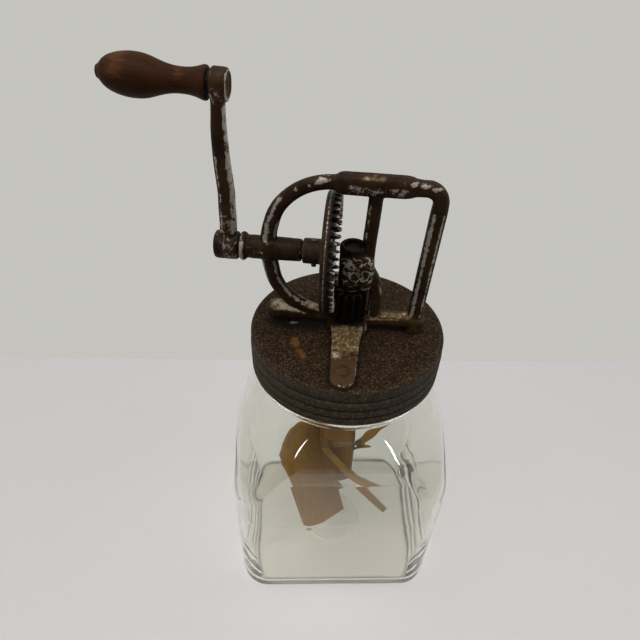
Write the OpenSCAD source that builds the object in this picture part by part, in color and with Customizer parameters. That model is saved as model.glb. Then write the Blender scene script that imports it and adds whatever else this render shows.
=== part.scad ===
// Hand-cranked glass butter churn: a rectangular glass jar with a round screw
// lid, a cast gear frame on the lid, a crank with a turned wooden handle, a
// crown gear and pinion, and a wooden four-blade dasher on a vertical shaft.
// Millimetres, +Z up, origin at the middle of the jar's flat underside.
// Everything on the lid shares one plane, turned about Z by lid_angle.

/* [Jar] */
// width of the glass body from side to side
jar_w = 147; // [120:1:180]
// depth of the glass body from front to back
jar_d = 124; // [118:1:160]
// radius of the body's upright corners
jar_corner_r = 21; // [12:1:30]
// height of the jar's rim above its underside
jar_h = 220.3; // [200:0.1:240]
// thickness of the glass wall
jar_wall = 5; // [3:0.5:7]
// thickness of the glass floor
jar_floor = 7; // [6:0.5:14]
// outside radius of the neck
neck_r = 53.5; // [52:0.1:55]
// inside radius of the mouth
mouth_r = 49; // [48.5:0.1:50]
// radius of the rounded heel
heel_r = 7; // [2:0.5:9]

/* [Lid] */
// outside radius of the screw lid
lid_r = 60; // [58:0.5:62]
// height of the lid's skirt
lid_h = 26; // [22:0.5:30]
// thickness of the lid's sheet
lid_t = 1.6; // [1.2:0.1:2]
// thickness of the sealing ring
gasket_t = 2; // [1.5:0.1:2.5]
// turn of the lid and its gearing about the upright axis, right end to the front
lid_angle = 7; // [0:0.5:15]

/* [Frame] */
// height of the crank axis above the lid
axis_h = 50; // [46:0.5:54]
// middle radius of the half-round bow
bow_r = 43.4; // [42:0.1:46]
// diameter of the half-round bow's bar
bow_d = 9.4; // [7:0.1:10]
// height of the top bar's middle above the lid
bar_h = 91.6; // [90:0.1:98]
// diameter of the top bar's stout part
bar_d = 11.2; // [9.8:0.1:12]
// diameter of the hand-hold bar
grip_d = 8.6; // [6:0.1:9]
// outside diameter of the crank bearing sleeve
sleeve_d = 12.6; // [11:0.1:15]
// diameter of the upright pinion bearing
boss_d = 15; // [13:0.1:15]
// thickness of the two strap feet
strap_t = 3.2; // [2:0.1:4]
// width of the strap feet at their round ends
strap_w = 15; // [12:0.5:18]

/* [Crank] */
// diameter of the crank shaft
shaft_d = 8; // [6:0.1:9]
// distance between the crank axis and the handle axis
throw = 84.9; // [75:0.1:86]
// diameter of the crank arm's hub
hub_d = 16; // [14:0.5:18]
// diameter of the boss at the arm's far end
end_d = 14.8; // [14:0.1:18]
// upward lean of the handle from the crank axis
handle_tilt = 2.6; // [0:0.2:4]
// length of the wooden handle
handle_l = 52.2; // [48:0.1:58]
// largest diameter of the wooden handle
handle_d = 20; // [18:0.2:26]
// diameter of the rod through the handle
spindle_d = 5; // [4:0.1:6]

/* [Gears] */
// teeth on the crown gear
gear_n = 42; // [36:6:48]
// teeth on the pinion
pinion_n = 12; // [10:1:14]
// outside radius of the crown gear
gear_r = 34; // [32:0.5:35]
// outside radius of the pinion
pinion_r = 10.3; // [9.6:0.1:10.4]

/* [Dasher] */
// diameter of the upright dasher shaft
dash_d = 8; // [6:0.1:9]
// height of the middle of the blades above the jar's underside
dash_z = 88.5; // [78:0.5:96]
// reach of each blade from the shaft's axis
blade_r = 42; // [34:0.5:42]
// length of each blade along its slope
blade_l = 82; // [60:1:82]
// thickness of each blade
blade_t = 4.5; // [3:0.1:6]
// slope of each blade from the horizontal
blade_pitch = 62; // [55:1:75]
// turn of the first blade about the upright axis
dash_angle = 215.5; // [0:0.5:359.5]
// diameter of the wooden hub
dash_hub_d = 26; // [22:0.5:30]

/* [Hidden] */
$fn = 64;
lid_z = jar_h + 0.1 + gasket_t + lid_t;   // top of the lid
skirt_z = lid_z - lid_h;                  // lower edge of the lid
axis_z = lid_z + axis_h;                  // crank axis
bar_z = lid_z + bar_h;                    // top bar's middle
bow_x = -5.8;                             // middle of the half-round bow
sleeve_x0 = -63.6;                        // outer end of the bearing sleeve
sleeve_x1 = -28.6;                        // inner end of the bearing sleeve
plate_x0 = -15.8;                           // back of the crown gear's plate
plate_x1 = -12;                           // front of the crown gear's plate
tip_x = -8;                               // tips of the crown gear's teeth
tooth_in = 29;                            // inner radius of the crown teeth
fit = 0.05;                               // radial clearance of a running fit
hub_x0 = -78;                             // outer face of the crank hub
hub_x1 = -64.2;                           // inner face of the crank hub
end_x0 = -71.6;                           // outer face of the arm's far boss
end_x1 = -64.3;                           // inner face of the arm's far boss
handle_x1 = end_x0 - 1.6;                 // inner end of the wooden handle
handle_x0 = handle_x1 - handle_l;         // outer end of the wooden handle
handle_z = axis_z + throw;                // handle axis at rest
boss_z0 = lid_z + 28;                     // lower end of the pinion bearing
boss_z1 = lid_z + 56.5;                   // upper end of the pinion bearing
pinion_z0 = lid_z + 9;                    // lower end of the pinion
pinion_z1 = lid_z + 26.6;                 // upper end of the pinion
shaft_z0 = dash_z - 22;                   // lower end of the dasher shaft
rivet_y = 45;                             // rivets from the lid's middle

// ---- helpers ----

// places what belongs to the lid
module on_lid() { rotate([0, 0, -lid_angle]) children(); }

// a round bar between two points of the frame's plane, given as [x, z]
module rod(a, b, d1, d2) {
    dx = b[0] - a[0];
    dz = b[1] - a[1];
    translate([a[0], 0, a[1]]) rotate([0, atan2(dx, dz), 0])
        cylinder(h = sqrt(dx * dx + dz * dz), d1 = d1, d2 = d2);
}

// a cylinder along X from x0 to x1 at height z
module along_x(x0, x1, d, z) {
    translate([x0, 0, z]) rotate([0, 90, 0]) cylinder(h = x1 - x0, d = d);
}

// leans what turns about the handle's axis, about the middle of the arm's far boss
module leaned() {
    translate([-68, 0, handle_z]) rotate([0, handle_tilt, 0]) translate([68, 0, -handle_z]) children();
}

// a rectangle with round corners, centred
module round_rect(w, d, r) {
    union() {
        square([w - 2 * r, d], center = true);
        square([w, d - 2 * r], center = true);
        for (sx = [-1, 1], sy = [-1, 1])
            translate([sx * (w / 2 - r), sy * (d / 2 - r)]) circle(r = r);
    }
}

// an upright plate outline with round lower corners, for the heel
module heel_outline(w, h, r) {
    union() {
        translate([-w / 2, r]) square([w, h - r]);
        translate([-w / 2 + r, 0]) square([w - 2 * r, h]);
        for (s = [-1, 1]) translate([s * (w / 2 - r), r]) circle(r = r);
    }
}

// ---- jar ----

// revolved outline that gives the jar its shoulder and neck
module shoulder_profile(inset) {
    polygon([
        [0, -1], [99 - inset, -1], [99 - inset, 96], [89 - inset, 112],
        [79 - inset, 131], [71.5 - inset, 150], [66.2 - inset, 166],
        [61.6 - inset, 181], [57.8 - inset, 193.2], [neck_r + 5.7 - inset, 194.4],
        [neck_r + 6 - inset, 195.6], [neck_r + 5 - inset, 196.9], [neck_r - inset, 198.6],
        [neck_r - inset, jar_h + 3], [0, jar_h + 3]]);
}

// the outside of the jar, filled
module jar_outer() {
    intersection() {
        linear_extrude(height = jar_h) round_rect(jar_w, jar_d, jar_corner_r);
        translate([0, jar_d, 0]) rotate([90, 0, 0])
            linear_extrude(height = 2 * jar_d) heel_outline(jar_w, jar_h, heel_r);
        translate([-jar_w, 0, 0]) rotate([90, 0, 90])
            linear_extrude(height = 2 * jar_w) heel_outline(jar_d, jar_h, heel_r);
        rotate_extrude() shoulder_profile(0);
    }
}

// the space inside the jar
module jar_inner() {
    union() {
        intersection() {
            translate([0, 0, jar_floor]) linear_extrude(height = 188 - jar_floor)
                round_rect(jar_w - 2 * jar_wall, jar_d - 2 * jar_wall, jar_corner_r - jar_wall);
            rotate_extrude() shoulder_profile(jar_wall);
        }
        translate([0, 0, 186]) cylinder(h = jar_h - 184, r = mouth_r);
    }
}

// one inclined thread on the neck
module neck_thread(turn, z) {
    translate([0, 0, z]) rotate([1.4, 0, turn])
        rotate_extrude(angle = 165) translate([neck_r - 0.6, 0])
            polygon([[0, -2], [2.6, -0.6], [2.6, 0.6], [0, 2]]);
}

module glass_jar() {
    color([0.80, 0.86, 0.82, 0.35]) union() {
        difference() {
            jar_outer();
            jar_inner();
        }
        neck_thread(0, 209);
        neck_thread(180, 209);
        // raised ring on the floor
        translate([0, 0, jar_floor - 0.5]) rotate_extrude()
            polygon([[22.4, 0], [25.2, 0], [24.6, 1.2], [23, 1.2]]);
    }
}

// ---- lid ----

module screw_lid() {
    color([0.24, 0.17, 0.14]) on_lid() difference() {
        rotate_extrude() polygon([
            [6.2, lid_z - lid_t], [6.2, lid_z], [lid_r - 2, lid_z],
            [lid_r - 0.6, lid_z - 0.6], [lid_r, lid_z - 2],
            [lid_r, lid_z - 7], [lid_r - 0.9, lid_z - 7.7], [lid_r, lid_z - 8.4],
            [lid_r, lid_z - 13.2], [lid_r - 0.9, lid_z - 14], [lid_r, lid_z - 14.8],
            [lid_r, lid_z - 19.2], [lid_r - 0.9, lid_z - 20], [lid_r, lid_z - 20.8],
            [lid_r, skirt_z + 0.6], [lid_r - 0.6, skirt_z], [lid_r - 2.2, skirt_z],
            [lid_r - 2.8, skirt_z + 0.6], [lid_r - 2.8, lid_z - lid_t]]);
        for (s = [-1, 1]) translate([0, s * rivet_y, lid_z - 5]) cylinder(h = 10, d = 5.1);
    }
}

module lid_gasket() {
    color([0.45, 0.22, 0.16]) on_lid()
        translate([0, 0, jar_h + 0.1]) difference() {
            cylinder(h = gasket_t, r = 56.4);
            translate([0, 0, -1]) cylinder(h = gasket_t + 2, r = 49.6);
        }
}

// ---- frame ----

// outline of one strap foot, running to the front
module strap_outline() {
    union() {
        polygon([[-9.7, 0], [9.7, 0], [9.2, -9], [strap_w / 2 + 0.6, -20],
                 [strap_w / 2, -49.5], [-strap_w / 2, -49.5],
                 [-strap_w / 2 - 0.6, -20], [-9.2, -9]]);
        translate([0, -49.5]) circle(d = strap_w);
    }
}

module gear_frame() {
    color([0.25, 0.17, 0.13]) on_lid() difference() {
        union() {
            // half-round bow
            translate([bow_x, 0, axis_z]) rotate([90, 0, 0]) rotate([0, 0, 86])
                rotate_extrude(angle = 178) translate([bow_r, 0]) circle(d = bow_d);
            // top bar: stout part with sloped ends, then the thin part
            translate([0, 0, bar_z]) rotate([0, 90, 0]) rotate_extrude() polygon([
                [0, -13], [bow_d / 2 - 0.3, -13], [bar_d / 2, -9.5], [bar_d / 2, 26],
                [grip_d / 2 + 0.1, 29.5], [grip_d / 2 + 0.1, 35], [0, 35]]);
            translate([34.8, 0, bar_z - 8]) rotate([90, 0, 0])
                rotate_extrude(angle = 90) translate([8, 0]) circle(d = grip_d + 0.5);
            // hand-hold bar
            rod([39.8, lid_z + 6], [42.8, bar_z - 7.6], grip_d, grip_d + 0.2);
            // right foot
            translate([39.8, 0, lid_z]) cylinder(h = 9, d1 = 14, d2 = 10.5);
            translate([39.8, 0, lid_z + 8.4]) sphere(d = 11.4);
            // left foot
            translate([-41, 0, lid_z]) cylinder(h = 8.6, d1 = 13, d2 = 9.6);
            translate([-41, 0, lid_z + 8]) sphere(d = 10.6);
            // base bar
            along_x(-41, -8, 7, lid_z + 5.6);
            rod([8, lid_z + 6.6], [39.8, lid_z + 7.4], 8.4, 8.4);
            // base below the pinion
            translate([0, 0, lid_z]) cylinder(h = 6.4, d1 = 27, d2 = 21);
            // strap feet
            for (s = [0, 180]) rotate([0, 0, s]) translate([0, 0, lid_z])
                linear_extrude(height = strap_t) strap_outline();
            // middle post with its shoulder around the pinion
            rod([9.4, bar_z], [7.8, lid_z + 46], 7.8, 7.9);
            rod([7.8, lid_z + 46], [14.4, lid_z + 31], 7.9, 7.4);
            translate([7.8, 0, lid_z + 46]) sphere(d = 8.7);
            translate([14.4, 0, lid_z + 31]) sphere(d = 8.2);
            rod([14.4, lid_z + 31], [14.9, lid_z + 4], 7.4, 7.6);
            // upright bearing of the pinion
            translate([0, 0, boss_z0]) cylinder(h = boss_z1 - boss_z0, d = boss_d);
            translate([6, -3, boss_z0]) cube([8, 6, 12]);
            // bearing sleeve of the crank
            translate([sleeve_x0, 0, axis_z]) rotate([0, 90, 0]) rotate_extrude() polygon([
                [0, 0], [7, 0], [8.2, 1.2], [8.2, 3], [sleeve_d / 2, 5.2],
                [sleeve_d / 2, sleeve_x1 - sleeve_x0], [0, sleeve_x1 - sleeve_x0]]);
            // swelling where the bow meets the sleeve
            translate([bow_x - bow_r, 0, axis_z]) sphere(d = 16);
        }
        // crank bearing
        along_x(sleeve_x0 - 4, sleeve_x1 + 4, shaft_d + 2 * fit, axis_z);
        // pinion bearing, upper and lower
        translate([0, 0, lid_z - 1]) cylinder(h = 70, d = dash_d + 2 * fit);
        // oil cup on top of the pinion bearing
        translate([0, 0, boss_z1 - 3]) cylinder(h = 4, d = 10.4);
        // room for the pinion
        translate([0, 0, lid_z + 6.4]) cylinder(h = 21.6, r = pinion_r + 0.7);
        // flat underside
        translate([-80, -80, lid_z - 10]) cube([160, 160, 10]);
        // rivet holes
        for (s = [-1, 1]) translate([0, s * rivet_y, lid_z - 1]) cylinder(h = 8, d = 5.1);
    }
}

module strap_rivets() {
    color([0.36, 0.27, 0.20]) on_lid() for (s = [-1, 1]) translate([0, s * rivet_y, 0])
        rotate_extrude() polygon([
            [0, lid_z - lid_t - 1], [4, lid_z - lid_t - 1], [4, lid_z - lid_t],
            [2.5, lid_z - lid_t], [2.5, lid_z + strap_t], [4.4, lid_z + strap_t],
            [4.2, lid_z + strap_t + 0.5], [3.2, lid_z + strap_t + 0.8], [0, lid_z + strap_t + 0.8]]);
}

module lid_bushing() {
    color([0.55, 0.50, 0.42]) on_lid() translate([0, 0, lid_z]) rotate_extrude() polygon([
        [dash_d / 2 + fit, -12], [dash_d / 2 + fit, 0], [6.1, 0], [6.1, -lid_t],
        [10, -lid_t], [10, -lid_t - 2.4], [6.8, -lid_t - 2.8], [6.8, -12]]);
}

// ---- crank ----

module crank_shaft() {
    color([0.42, 0.39, 0.36]) on_lid() difference() {
        along_x(hub_x0, -9.6, shaft_d, axis_z);
        translate([-22, 0, axis_z - 12]) cylinder(h = 24, d = 3);
        translate([-71, 0, axis_z]) rotate([90, 0, 0]) cylinder(h = 24, d = 3, center = true);
    }
}

module crank_arm() {
    color([0.27, 0.19, 0.15]) on_lid() difference() {
        union() {
            translate([hub_x0, 0, axis_z]) rotate([0, 90, 0]) rotate_extrude() polygon([
                [0, 0], [hub_d / 2 - 1.2, 0], [hub_d / 2, 1.2],
                [hub_d / 2, hub_x1 - hub_x0 - 1.2], [hub_d / 2 - 1.2, hub_x1 - hub_x0], [0, hub_x1 - hub_x0]]);
            rod([-70.7, axis_z + 5.4], [-69.3, axis_z + 28], 9.2, 8.8);
            translate([-69.3, 0, axis_z + 28]) sphere(d = 9.4);
            rod([-69.3, axis_z + 28], [-70.3, axis_z + 58], 8.8, 8);
            translate([-70.3, 0, axis_z + 58]) sphere(d = 8.7);
            rod([-70.3, axis_z + 58], [-68, handle_z - 4.4], 8, 6.2);
            leaned() translate([end_x0, 0, handle_z]) rotate([0, 90, 0]) rotate_extrude() polygon([
                [0, 0], [end_d / 2 - 1, 0], [end_d / 2, 1], [end_d / 2, end_x1 - end_x0 - 1.2],
                [end_d / 2 - 1.2, end_x1 - end_x0], [0, end_x1 - end_x0]]);
        }
        along_x(hub_x0 - 1, hub_x1 + 1, shaft_d + 0.04, axis_z);
        leaned() along_x(end_x0 - 1, end_x1 + 1, spindle_d + 0.04, handle_z);
        translate([-71, 0, axis_z]) rotate([90, 0, 0]) cylinder(h = 24, d = 3.04, center = true);
    }
}

module arm_pin() {
    color([0.40, 0.36, 0.32]) on_lid()
        translate([-71, 0, axis_z]) rotate([90, 0, 0]) cylinder(h = 17, d = 2.96, center = true);
}

// one crown tooth, standing on the plate at the bottom of the ring
module crown_tooth() {
    translate([0, 0, -gear_r + 0.4]) linear_extrude(height = gear_r - tooth_in - 0.4)
        polygon([[plate_x1 - 0.4, -1.25], [plate_x1 - 0.4, 1.25], [tip_x - 0.5, 0.75],
                 [tip_x, 0.45], [tip_x, -0.45], [tip_x - 0.5, -0.75]]);
}

module drive_gear() {
    color([0.20, 0.17, 0.15]) on_lid() translate([0, 0, axis_z]) difference() {
        union() {
            // plate with a thin raised rim, and the hub behind it
            rotate([0, 90, 0]) rotate_extrude() polygon([
                [0, -28.2], [6.6, -28.2], [7.1, -27.6], [7.1, plate_x0 - 2], [9, plate_x0],
                [gear_r - 0.8, plate_x0], [gear_r, plate_x0 + 0.8], [gear_r, plate_x1],
                [tooth_in - 1, plate_x1], [tooth_in - 2, plate_x1 - 0.8],
                [9, plate_x1 - 0.8], [8, plate_x1], [0, plate_x1]]);
            for (i = [0 : gear_n - 1]) rotate([i * 360 / gear_n, 0, 0]) crown_tooth();
        }
        translate([-30, 0, 0]) rotate([0, 90, 0]) cylinder(h = 22, d = shaft_d + 0.04);
        translate([-22, 0, -12]) cylinder(h = 24, d = 3.04);
    }
}

module gear_pin() {
    color([0.40, 0.36, 0.32]) on_lid()
        translate([-22, 0, axis_z - 9.6]) cylinder(h = 17.2, d = 2.96);
}

module handle_spindle() {
    color([0.30, 0.20, 0.14]) on_lid() leaned() union() {
        along_x(handle_x0 + 1, end_x1 - 0.4, spindle_d, handle_z);
        along_x(handle_x0 + 0.3, handle_x0 + 1.8, 6.2, handle_z);
    }
}

module spindle_washer() {
    color([0.16, 0.13, 0.12]) on_lid() leaned() difference() {
        along_x(end_x0 - 1.2, end_x0, 12.6, handle_z);
        along_x(end_x0 - 3, end_x0 + 1, spindle_d + 0.04, handle_z);
    }
}

// ---- handle ----

module crank_handle() {
    color([0.42, 0.20, 0.11]) on_lid() leaned() translate([handle_x0, 0, handle_z]) rotate([0, 90, 0])
        rotate_extrude() {
            k = handle_l / 52.2;
            r = handle_d / 20;
            polygon([
                [3.3, 2.4 * k], [3.3, 0.9 * k], [4.5 * r, 2 * k], [6.2 * r, 3.8 * k], [7.6 * r, 6 * k],
                [8.5 * r, 8.4 * k], [9.5 * r, 12.6 * k], [10 * r, 17 * k], [9.75 * r, 21.6 * k],
                [8.7 * r, 26.1 * k], [7.2 * r, 30.6 * k], [6.2 * r, 35 * k], [5.8 * r, 39.5 * k],
                [6.05 * r, 44 * k], [7.05 * r, 48.4 * k], [7.7 * r, 50.4 * k], [7.3 * r, handle_l],
                [spindle_d / 2 + fit, handle_l], [spindle_d / 2 + fit, 2.4 * k]]);
        }
}

// ---- dasher ----

module dasher_shaft() {
    color([0.45, 0.42, 0.39]) on_lid() difference() {
        translate([0, 0, shaft_z0]) cylinder(h = lid_z + 54 - shaft_z0, d = dash_d);
        translate([0, 0, lid_z + 24]) rotate([0, 90, 0]) cylinder(h = 30, d = 2.5, center = true);
        translate([0, 0, dash_z + 16]) rotate([0, 90, dash_angle + lid_angle]) cylinder(h = 30, d = 3, center = true);
    }
}

// half-angle that a width spans at a radius
function half(w, r) = asin(w / 2 / r);

module pinion_outline() {
    root = 6.8;
    union() {
        circle(r = root);
        for (i = [0 : pinion_n - 1]) rotate((i + 0.5) * 360 / pinion_n)
            polygon([[root - 0.6, -1.35], [8.4, -1.0], [9.6, -0.75], [pinion_r, -0.45],
                     [pinion_r, 0.45], [9.6, 0.75], [8.4, 1.0], [root - 0.6, 1.35]]);
    }
}

module pinion() {
    color([0.15, 0.13, 0.12]) on_lid() difference() {
        translate([0, 0, pinion_z0]) linear_extrude(height = pinion_z1 - pinion_z0) pinion_outline();
        translate([0, 0, pinion_z0 - 1]) cylinder(h = 30, d = dash_d + 0.04);
        translate([0, 0, lid_z + 24]) rotate([0, 90, 0]) cylinder(h = 30, d = 2.54, center = true);
    }
}

module pinion_pin() {
    color([0.40, 0.36, 0.32]) on_lid()
        translate([0, 0, lid_z + 24]) rotate([0, 90, 0]) cylinder(h = 12.4, d = 2.46, center = true);
}

module thrust_washer() {
    color([0.50, 0.44, 0.34]) on_lid() translate([0, 0, lid_z + 6.7]) difference() {
        cylinder(h = 2.3, d = 14);
        translate([0, 0, -1]) cylinder(h = 5, d = dash_d + 0.04);
    }
}

module shaft_collar() {
    color([0.42, 0.39, 0.36]) on_lid() translate([0, 0, lid_z - 20]) difference() {
        rotate_extrude() polygon([[0, 0], [7.4, 0], [8.2, 0.8], [8.2, 6.6], [7.4, 7.4], [0, 7.4]]);
        translate([0, 0, -1]) cylinder(h = 12, d = dash_d + 0.04);
    }
}

// one blade, placed; grow widens it for its slot in the hub
module blade_at(k, grow) {
    rotate([0, 0, dash_angle + lid_angle + 90 * k]) translate([0, 0, dash_z])
        rotate([-blade_pitch, 0, 0]) translate([0, 0, -blade_t / 2 - grow])
            linear_extrude(height = blade_t + 2 * grow) polygon([
                [6.2 - grow, -blade_l / 2 - grow], [blade_r - 13, -blade_l / 2 - grow],
                [blade_r, -blade_l / 2 + 13], [blade_r, blade_l / 2 - 3], [blade_r - 3, blade_l / 2 + grow],
                [6.2 - grow, blade_l / 2 + grow]]);
}

module dasher_hub() {
    color([0.50, 0.33, 0.19]) on_lid() difference() {
        translate([0, 0, dash_z - 22]) rotate_extrude() polygon([
            [0, 0], [dash_hub_d / 2 - 2, 0], [dash_hub_d / 2, 2], [dash_hub_d / 2, 58],
            [dash_hub_d / 2 - 2, 60], [0, 60]]);
        translate([0, 0, dash_z - 30]) cylinder(h = 76, d = dash_d + 0.04);
        translate([0, 0, dash_z + 16]) rotate([0, 90, dash_angle + lid_angle]) cylinder(h = 40, d = 3.04, center = true);
        for (k = [0 : 3]) blade_at(k, 0.1);
    }
}

module hub_pin() {
    color([0.42, 0.39, 0.36]) on_lid() translate([0, 0, dash_z + 16])
        rotate([0, 90, dash_angle + lid_angle]) cylinder(h = 25.4, d = 2.96, center = true);
}

module dasher_blade_1() { color([0.58, 0.40, 0.24]) on_lid() blade_at(0, 0); }
module dasher_blade_2() { color([0.58, 0.40, 0.24]) on_lid() blade_at(1, 0); }
module dasher_blade_3() { color([0.58, 0.40, 0.24]) on_lid() blade_at(2, 0); }
module dasher_blade_4() { color([0.58, 0.40, 0.24]) on_lid() blade_at(3, 0); }

glass_jar();
screw_lid();
lid_gasket();
gear_frame();
strap_rivets();
lid_bushing();
crank_shaft();
crank_arm();
arm_pin();
drive_gear();
gear_pin();
handle_spindle();
spindle_washer();
crank_handle();
dasher_shaft();
pinion();
pinion_pin();
thrust_washer();
shaft_collar();
dasher_hub();
hub_pin();
dasher_blade_1();
dasher_blade_2();
dasher_blade_3();
dasher_blade_4();
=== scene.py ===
import math

import bmesh
import bpy
import numpy as np
from mathutils import Matrix, Vector, noise


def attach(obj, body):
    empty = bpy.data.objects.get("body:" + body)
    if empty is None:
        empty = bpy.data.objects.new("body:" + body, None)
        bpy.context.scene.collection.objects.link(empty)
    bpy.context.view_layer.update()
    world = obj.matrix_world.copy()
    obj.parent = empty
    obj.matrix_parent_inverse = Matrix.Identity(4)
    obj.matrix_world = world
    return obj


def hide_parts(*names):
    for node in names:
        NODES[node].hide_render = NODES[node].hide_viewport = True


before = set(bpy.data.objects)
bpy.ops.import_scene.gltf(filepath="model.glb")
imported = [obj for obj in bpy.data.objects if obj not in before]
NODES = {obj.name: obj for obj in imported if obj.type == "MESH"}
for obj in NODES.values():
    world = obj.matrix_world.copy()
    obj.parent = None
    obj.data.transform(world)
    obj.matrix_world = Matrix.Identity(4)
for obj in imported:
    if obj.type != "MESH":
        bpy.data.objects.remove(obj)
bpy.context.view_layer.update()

MM = 0.001
TURN = math.radians(-7.0)          # the lid and its gearing are turned about Z
LID_Z = 224.0                      # top of the lid, mm
AXIS_Z = LID_Z + 50.0              # crank axis
KNOB_Z = AXIS_Z + 84.9             # handle axis
LEAN = math.radians(2.6)           # the handle leans a little, outer end up
CT, ST = math.cos(TURN), math.sin(TURN)

scene = bpy.context.scene


# --------------------------------------------------------------------------
# mesh helpers (all lengths in mm until the object is made)
# --------------------------------------------------------------------------

def turned(V):
    """Lid-frame points to row-frame points."""
    V = np.asarray(V, float)
    out = V.copy()
    out[:, 0] = V[:, 0] * CT - V[:, 1] * ST
    out[:, 1] = V[:, 0] * ST + V[:, 1] * CT
    return out


def lid_frame(V):
    """Row-frame points to lid-frame points."""
    V = np.asarray(V, float)
    out = V.copy()
    out[:, 0] = V[:, 0] * CT + V[:, 1] * ST
    out[:, 1] = -V[:, 0] * ST + V[:, 1] * CT
    return out


def leaned(V):
    """Leans points about the handle's pivot, outer end up."""
    V = np.asarray(V, float)
    out = V.copy()
    c, s = math.cos(LEAN), math.sin(LEAN)
    dx, dz = V[:, 0] + 68.0, V[:, 2] - KNOB_Z
    out[:, 0] = -68.0 + dx * c + dz * s
    out[:, 2] = KNOB_Z - dx * s + dz * c
    return out


def unleaned(V):
    V = np.asarray(V, float)
    out = V.copy()
    c, s = math.cos(LEAN), math.sin(LEAN)
    dx, dz = V[:, 0] + 68.0, V[:, 2] - KNOB_Z
    out[:, 0] = -68.0 + dx * c - dz * s
    out[:, 2] = KNOB_Z + dx * s + dz * c
    return out


def make(name, V, F, on_lid=False, smooth=True):
    V = np.asarray(V, float)
    if on_lid:
        V = turned(V)
    me = bpy.data.meshes.new(name)
    me.from_pydata([tuple(v) for v in V * MM], [], [tuple(f) for f in F])
    me.validate()
    me.update()
    bm = bmesh.new()
    bm.from_mesh(me)
    bmesh.ops.recalc_face_normals(bm, faces=bm.faces)
    bm.to_mesh(me)
    bm.free()
    me.polygons.foreach_set("use_smooth", [smooth] * len(me.polygons))
    o = bpy.data.objects.new(name, me)
    scene.collection.objects.link(o)
    return o


def spline(ctrl, m=8):
    """Catmull-Rom through control rows (any number of columns)."""
    P = np.asarray(ctrl, float)
    P = np.vstack([2 * P[0] - P[1], P, 2 * P[-1] - P[-2]])
    out = []
    for i in range(1, len(P) - 2):
        a, b, c, d = P[i - 1], P[i], P[i + 1], P[i + 2]
        for k in range(m):
            t = k / m
            out.append(0.5 * ((2 * b) + (c - a) * t + (2 * a - 5 * b + 4 * c - d) * t * t
                              + (3 * b - a - 3 * c + d) * t ** 3))
    out.append(P[-2])
    return np.array(out)


def sweep(rows, n=28, normal=(0, 1, 0)):
    """Closed bar along a path. rows: x, y, z, half width across, half depth along normal, exponent."""
    R = np.asarray(rows, float)
    P = R[:, :3]
    T = np.gradient(P, axis=0)
    T /= np.linalg.norm(T, axis=1)[:, None]
    N0 = np.asarray(normal, float)
    V, F = [], []
    for i in range(len(P)):
        N = N0 - T[i] * (N0 @ T[i])
        N /= np.linalg.norm(N)
        B = np.cross(T[i], N)
        hw, hd, e = R[i, 3:6]
        for k in range(n):
            a = 2 * math.pi * k / n
            c, s = math.cos(a), math.sin(a)
            V.append(P[i] + B * hw * math.copysign(abs(c) ** (2 / e), c)
                     + N * hd * math.copysign(abs(s) ** (2 / e), s))
    m = len(P)
    for i in range(m - 1):
        for k in range(n):
            a, b = i * n + k, i * n + (k + 1) % n
            F.append((a, b, b + n, a + n))
    F.append(tuple(range(n - 1, -1, -1)))
    F.append(tuple((m - 1) * n + k for k in range(n)))
    return np.array(V), F


def lathe(profile, n=64, axis="z", centre=(0, 0, 0), closed=False):
    """Revolves (radius, height) points. An open profile is capped at both ends; a closed one is a ring."""
    pr = [(max(r, 0.0), h) for r, h in profile]
    V, F = [], []
    for r, h in pr:
        for k in range(n):
            a = 2 * math.pi * k / n
            V.append((r * math.cos(a), r * math.sin(a), h))
    m = len(pr)
    for i in range(m if closed else m - 1):
        j = (i + 1) % m
        for k in range(n):
            k2 = (k + 1) % n
            F.append((i * n + k, i * n + k2, j * n + k2, j * n + k))
    if not closed:
        F.append(tuple(range(n - 1, -1, -1)))
        F.append(tuple((m - 1) * n + k for k in range(n)))
    V = np.array(V)
    if axis == "x":
        V = np.stack([V[:, 2], V[:, 0], V[:, 1]], 1)
    return V + np.asarray(centre, float), F


def blob(c, h, e=2.6, n=24):
    """Rounded block (superellipsoid) at c with half sizes h."""
    V, F = [], []
    m = n // 2
    sg = lambda v, p: math.copysign(abs(v) ** p, v)
    for i in range(1, m):
        u = -math.pi / 2 + math.pi * i / m
        for k in range(n):
            a = 2 * math.pi * k / n
            V.append((c[0] + h[0] * sg(math.cos(u), 2 / e) * sg(math.cos(a), 2 / e),
                      c[1] + h[1] * sg(math.cos(u), 2 / e) * sg(math.sin(a), 2 / e),
                      c[2] + h[2] * sg(math.sin(u), 2 / e)))
    for i in range(m - 2):
        for k in range(n):
            k2 = (k + 1) % n
            F.append((i * n + k, i * n + k2, (i + 1) * n + k2, (i + 1) * n + k))
    V.append((c[0], c[1], c[2] - h[2]))
    V.append((c[0], c[1], c[2] + h[2]))
    lo, hi = len(V) - 2, len(V) - 1
    for k in range(n):
        k2 = (k + 1) % n
        F.append((lo, k2, k))
        F.append((hi, (m - 2) * n + k, (m - 2) * n + k2))
    return np.array(V), F


def joined(parts):
    V, F, n = [], [], 0
    for v, f in parts:
        V.append(v)
        F += [tuple(i + n for i in q) for q in f]
        n += len(v)
    return np.vstack(V), F


def applied(o):
    """Bakes the object's modifiers into its mesh."""
    bpy.context.view_layer.update()
    dg = bpy.context.evaluated_depsgraph_get()
    me = bpy.data.meshes.new_from_object(o.evaluated_get(dg))
    old = o.data
    o.modifiers.clear()
    o.data = me
    bpy.data.meshes.remove(old)
    me.name = o.name
    me.polygons.foreach_set("use_smooth", [True] * len(me.polygons))
    return o


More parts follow.
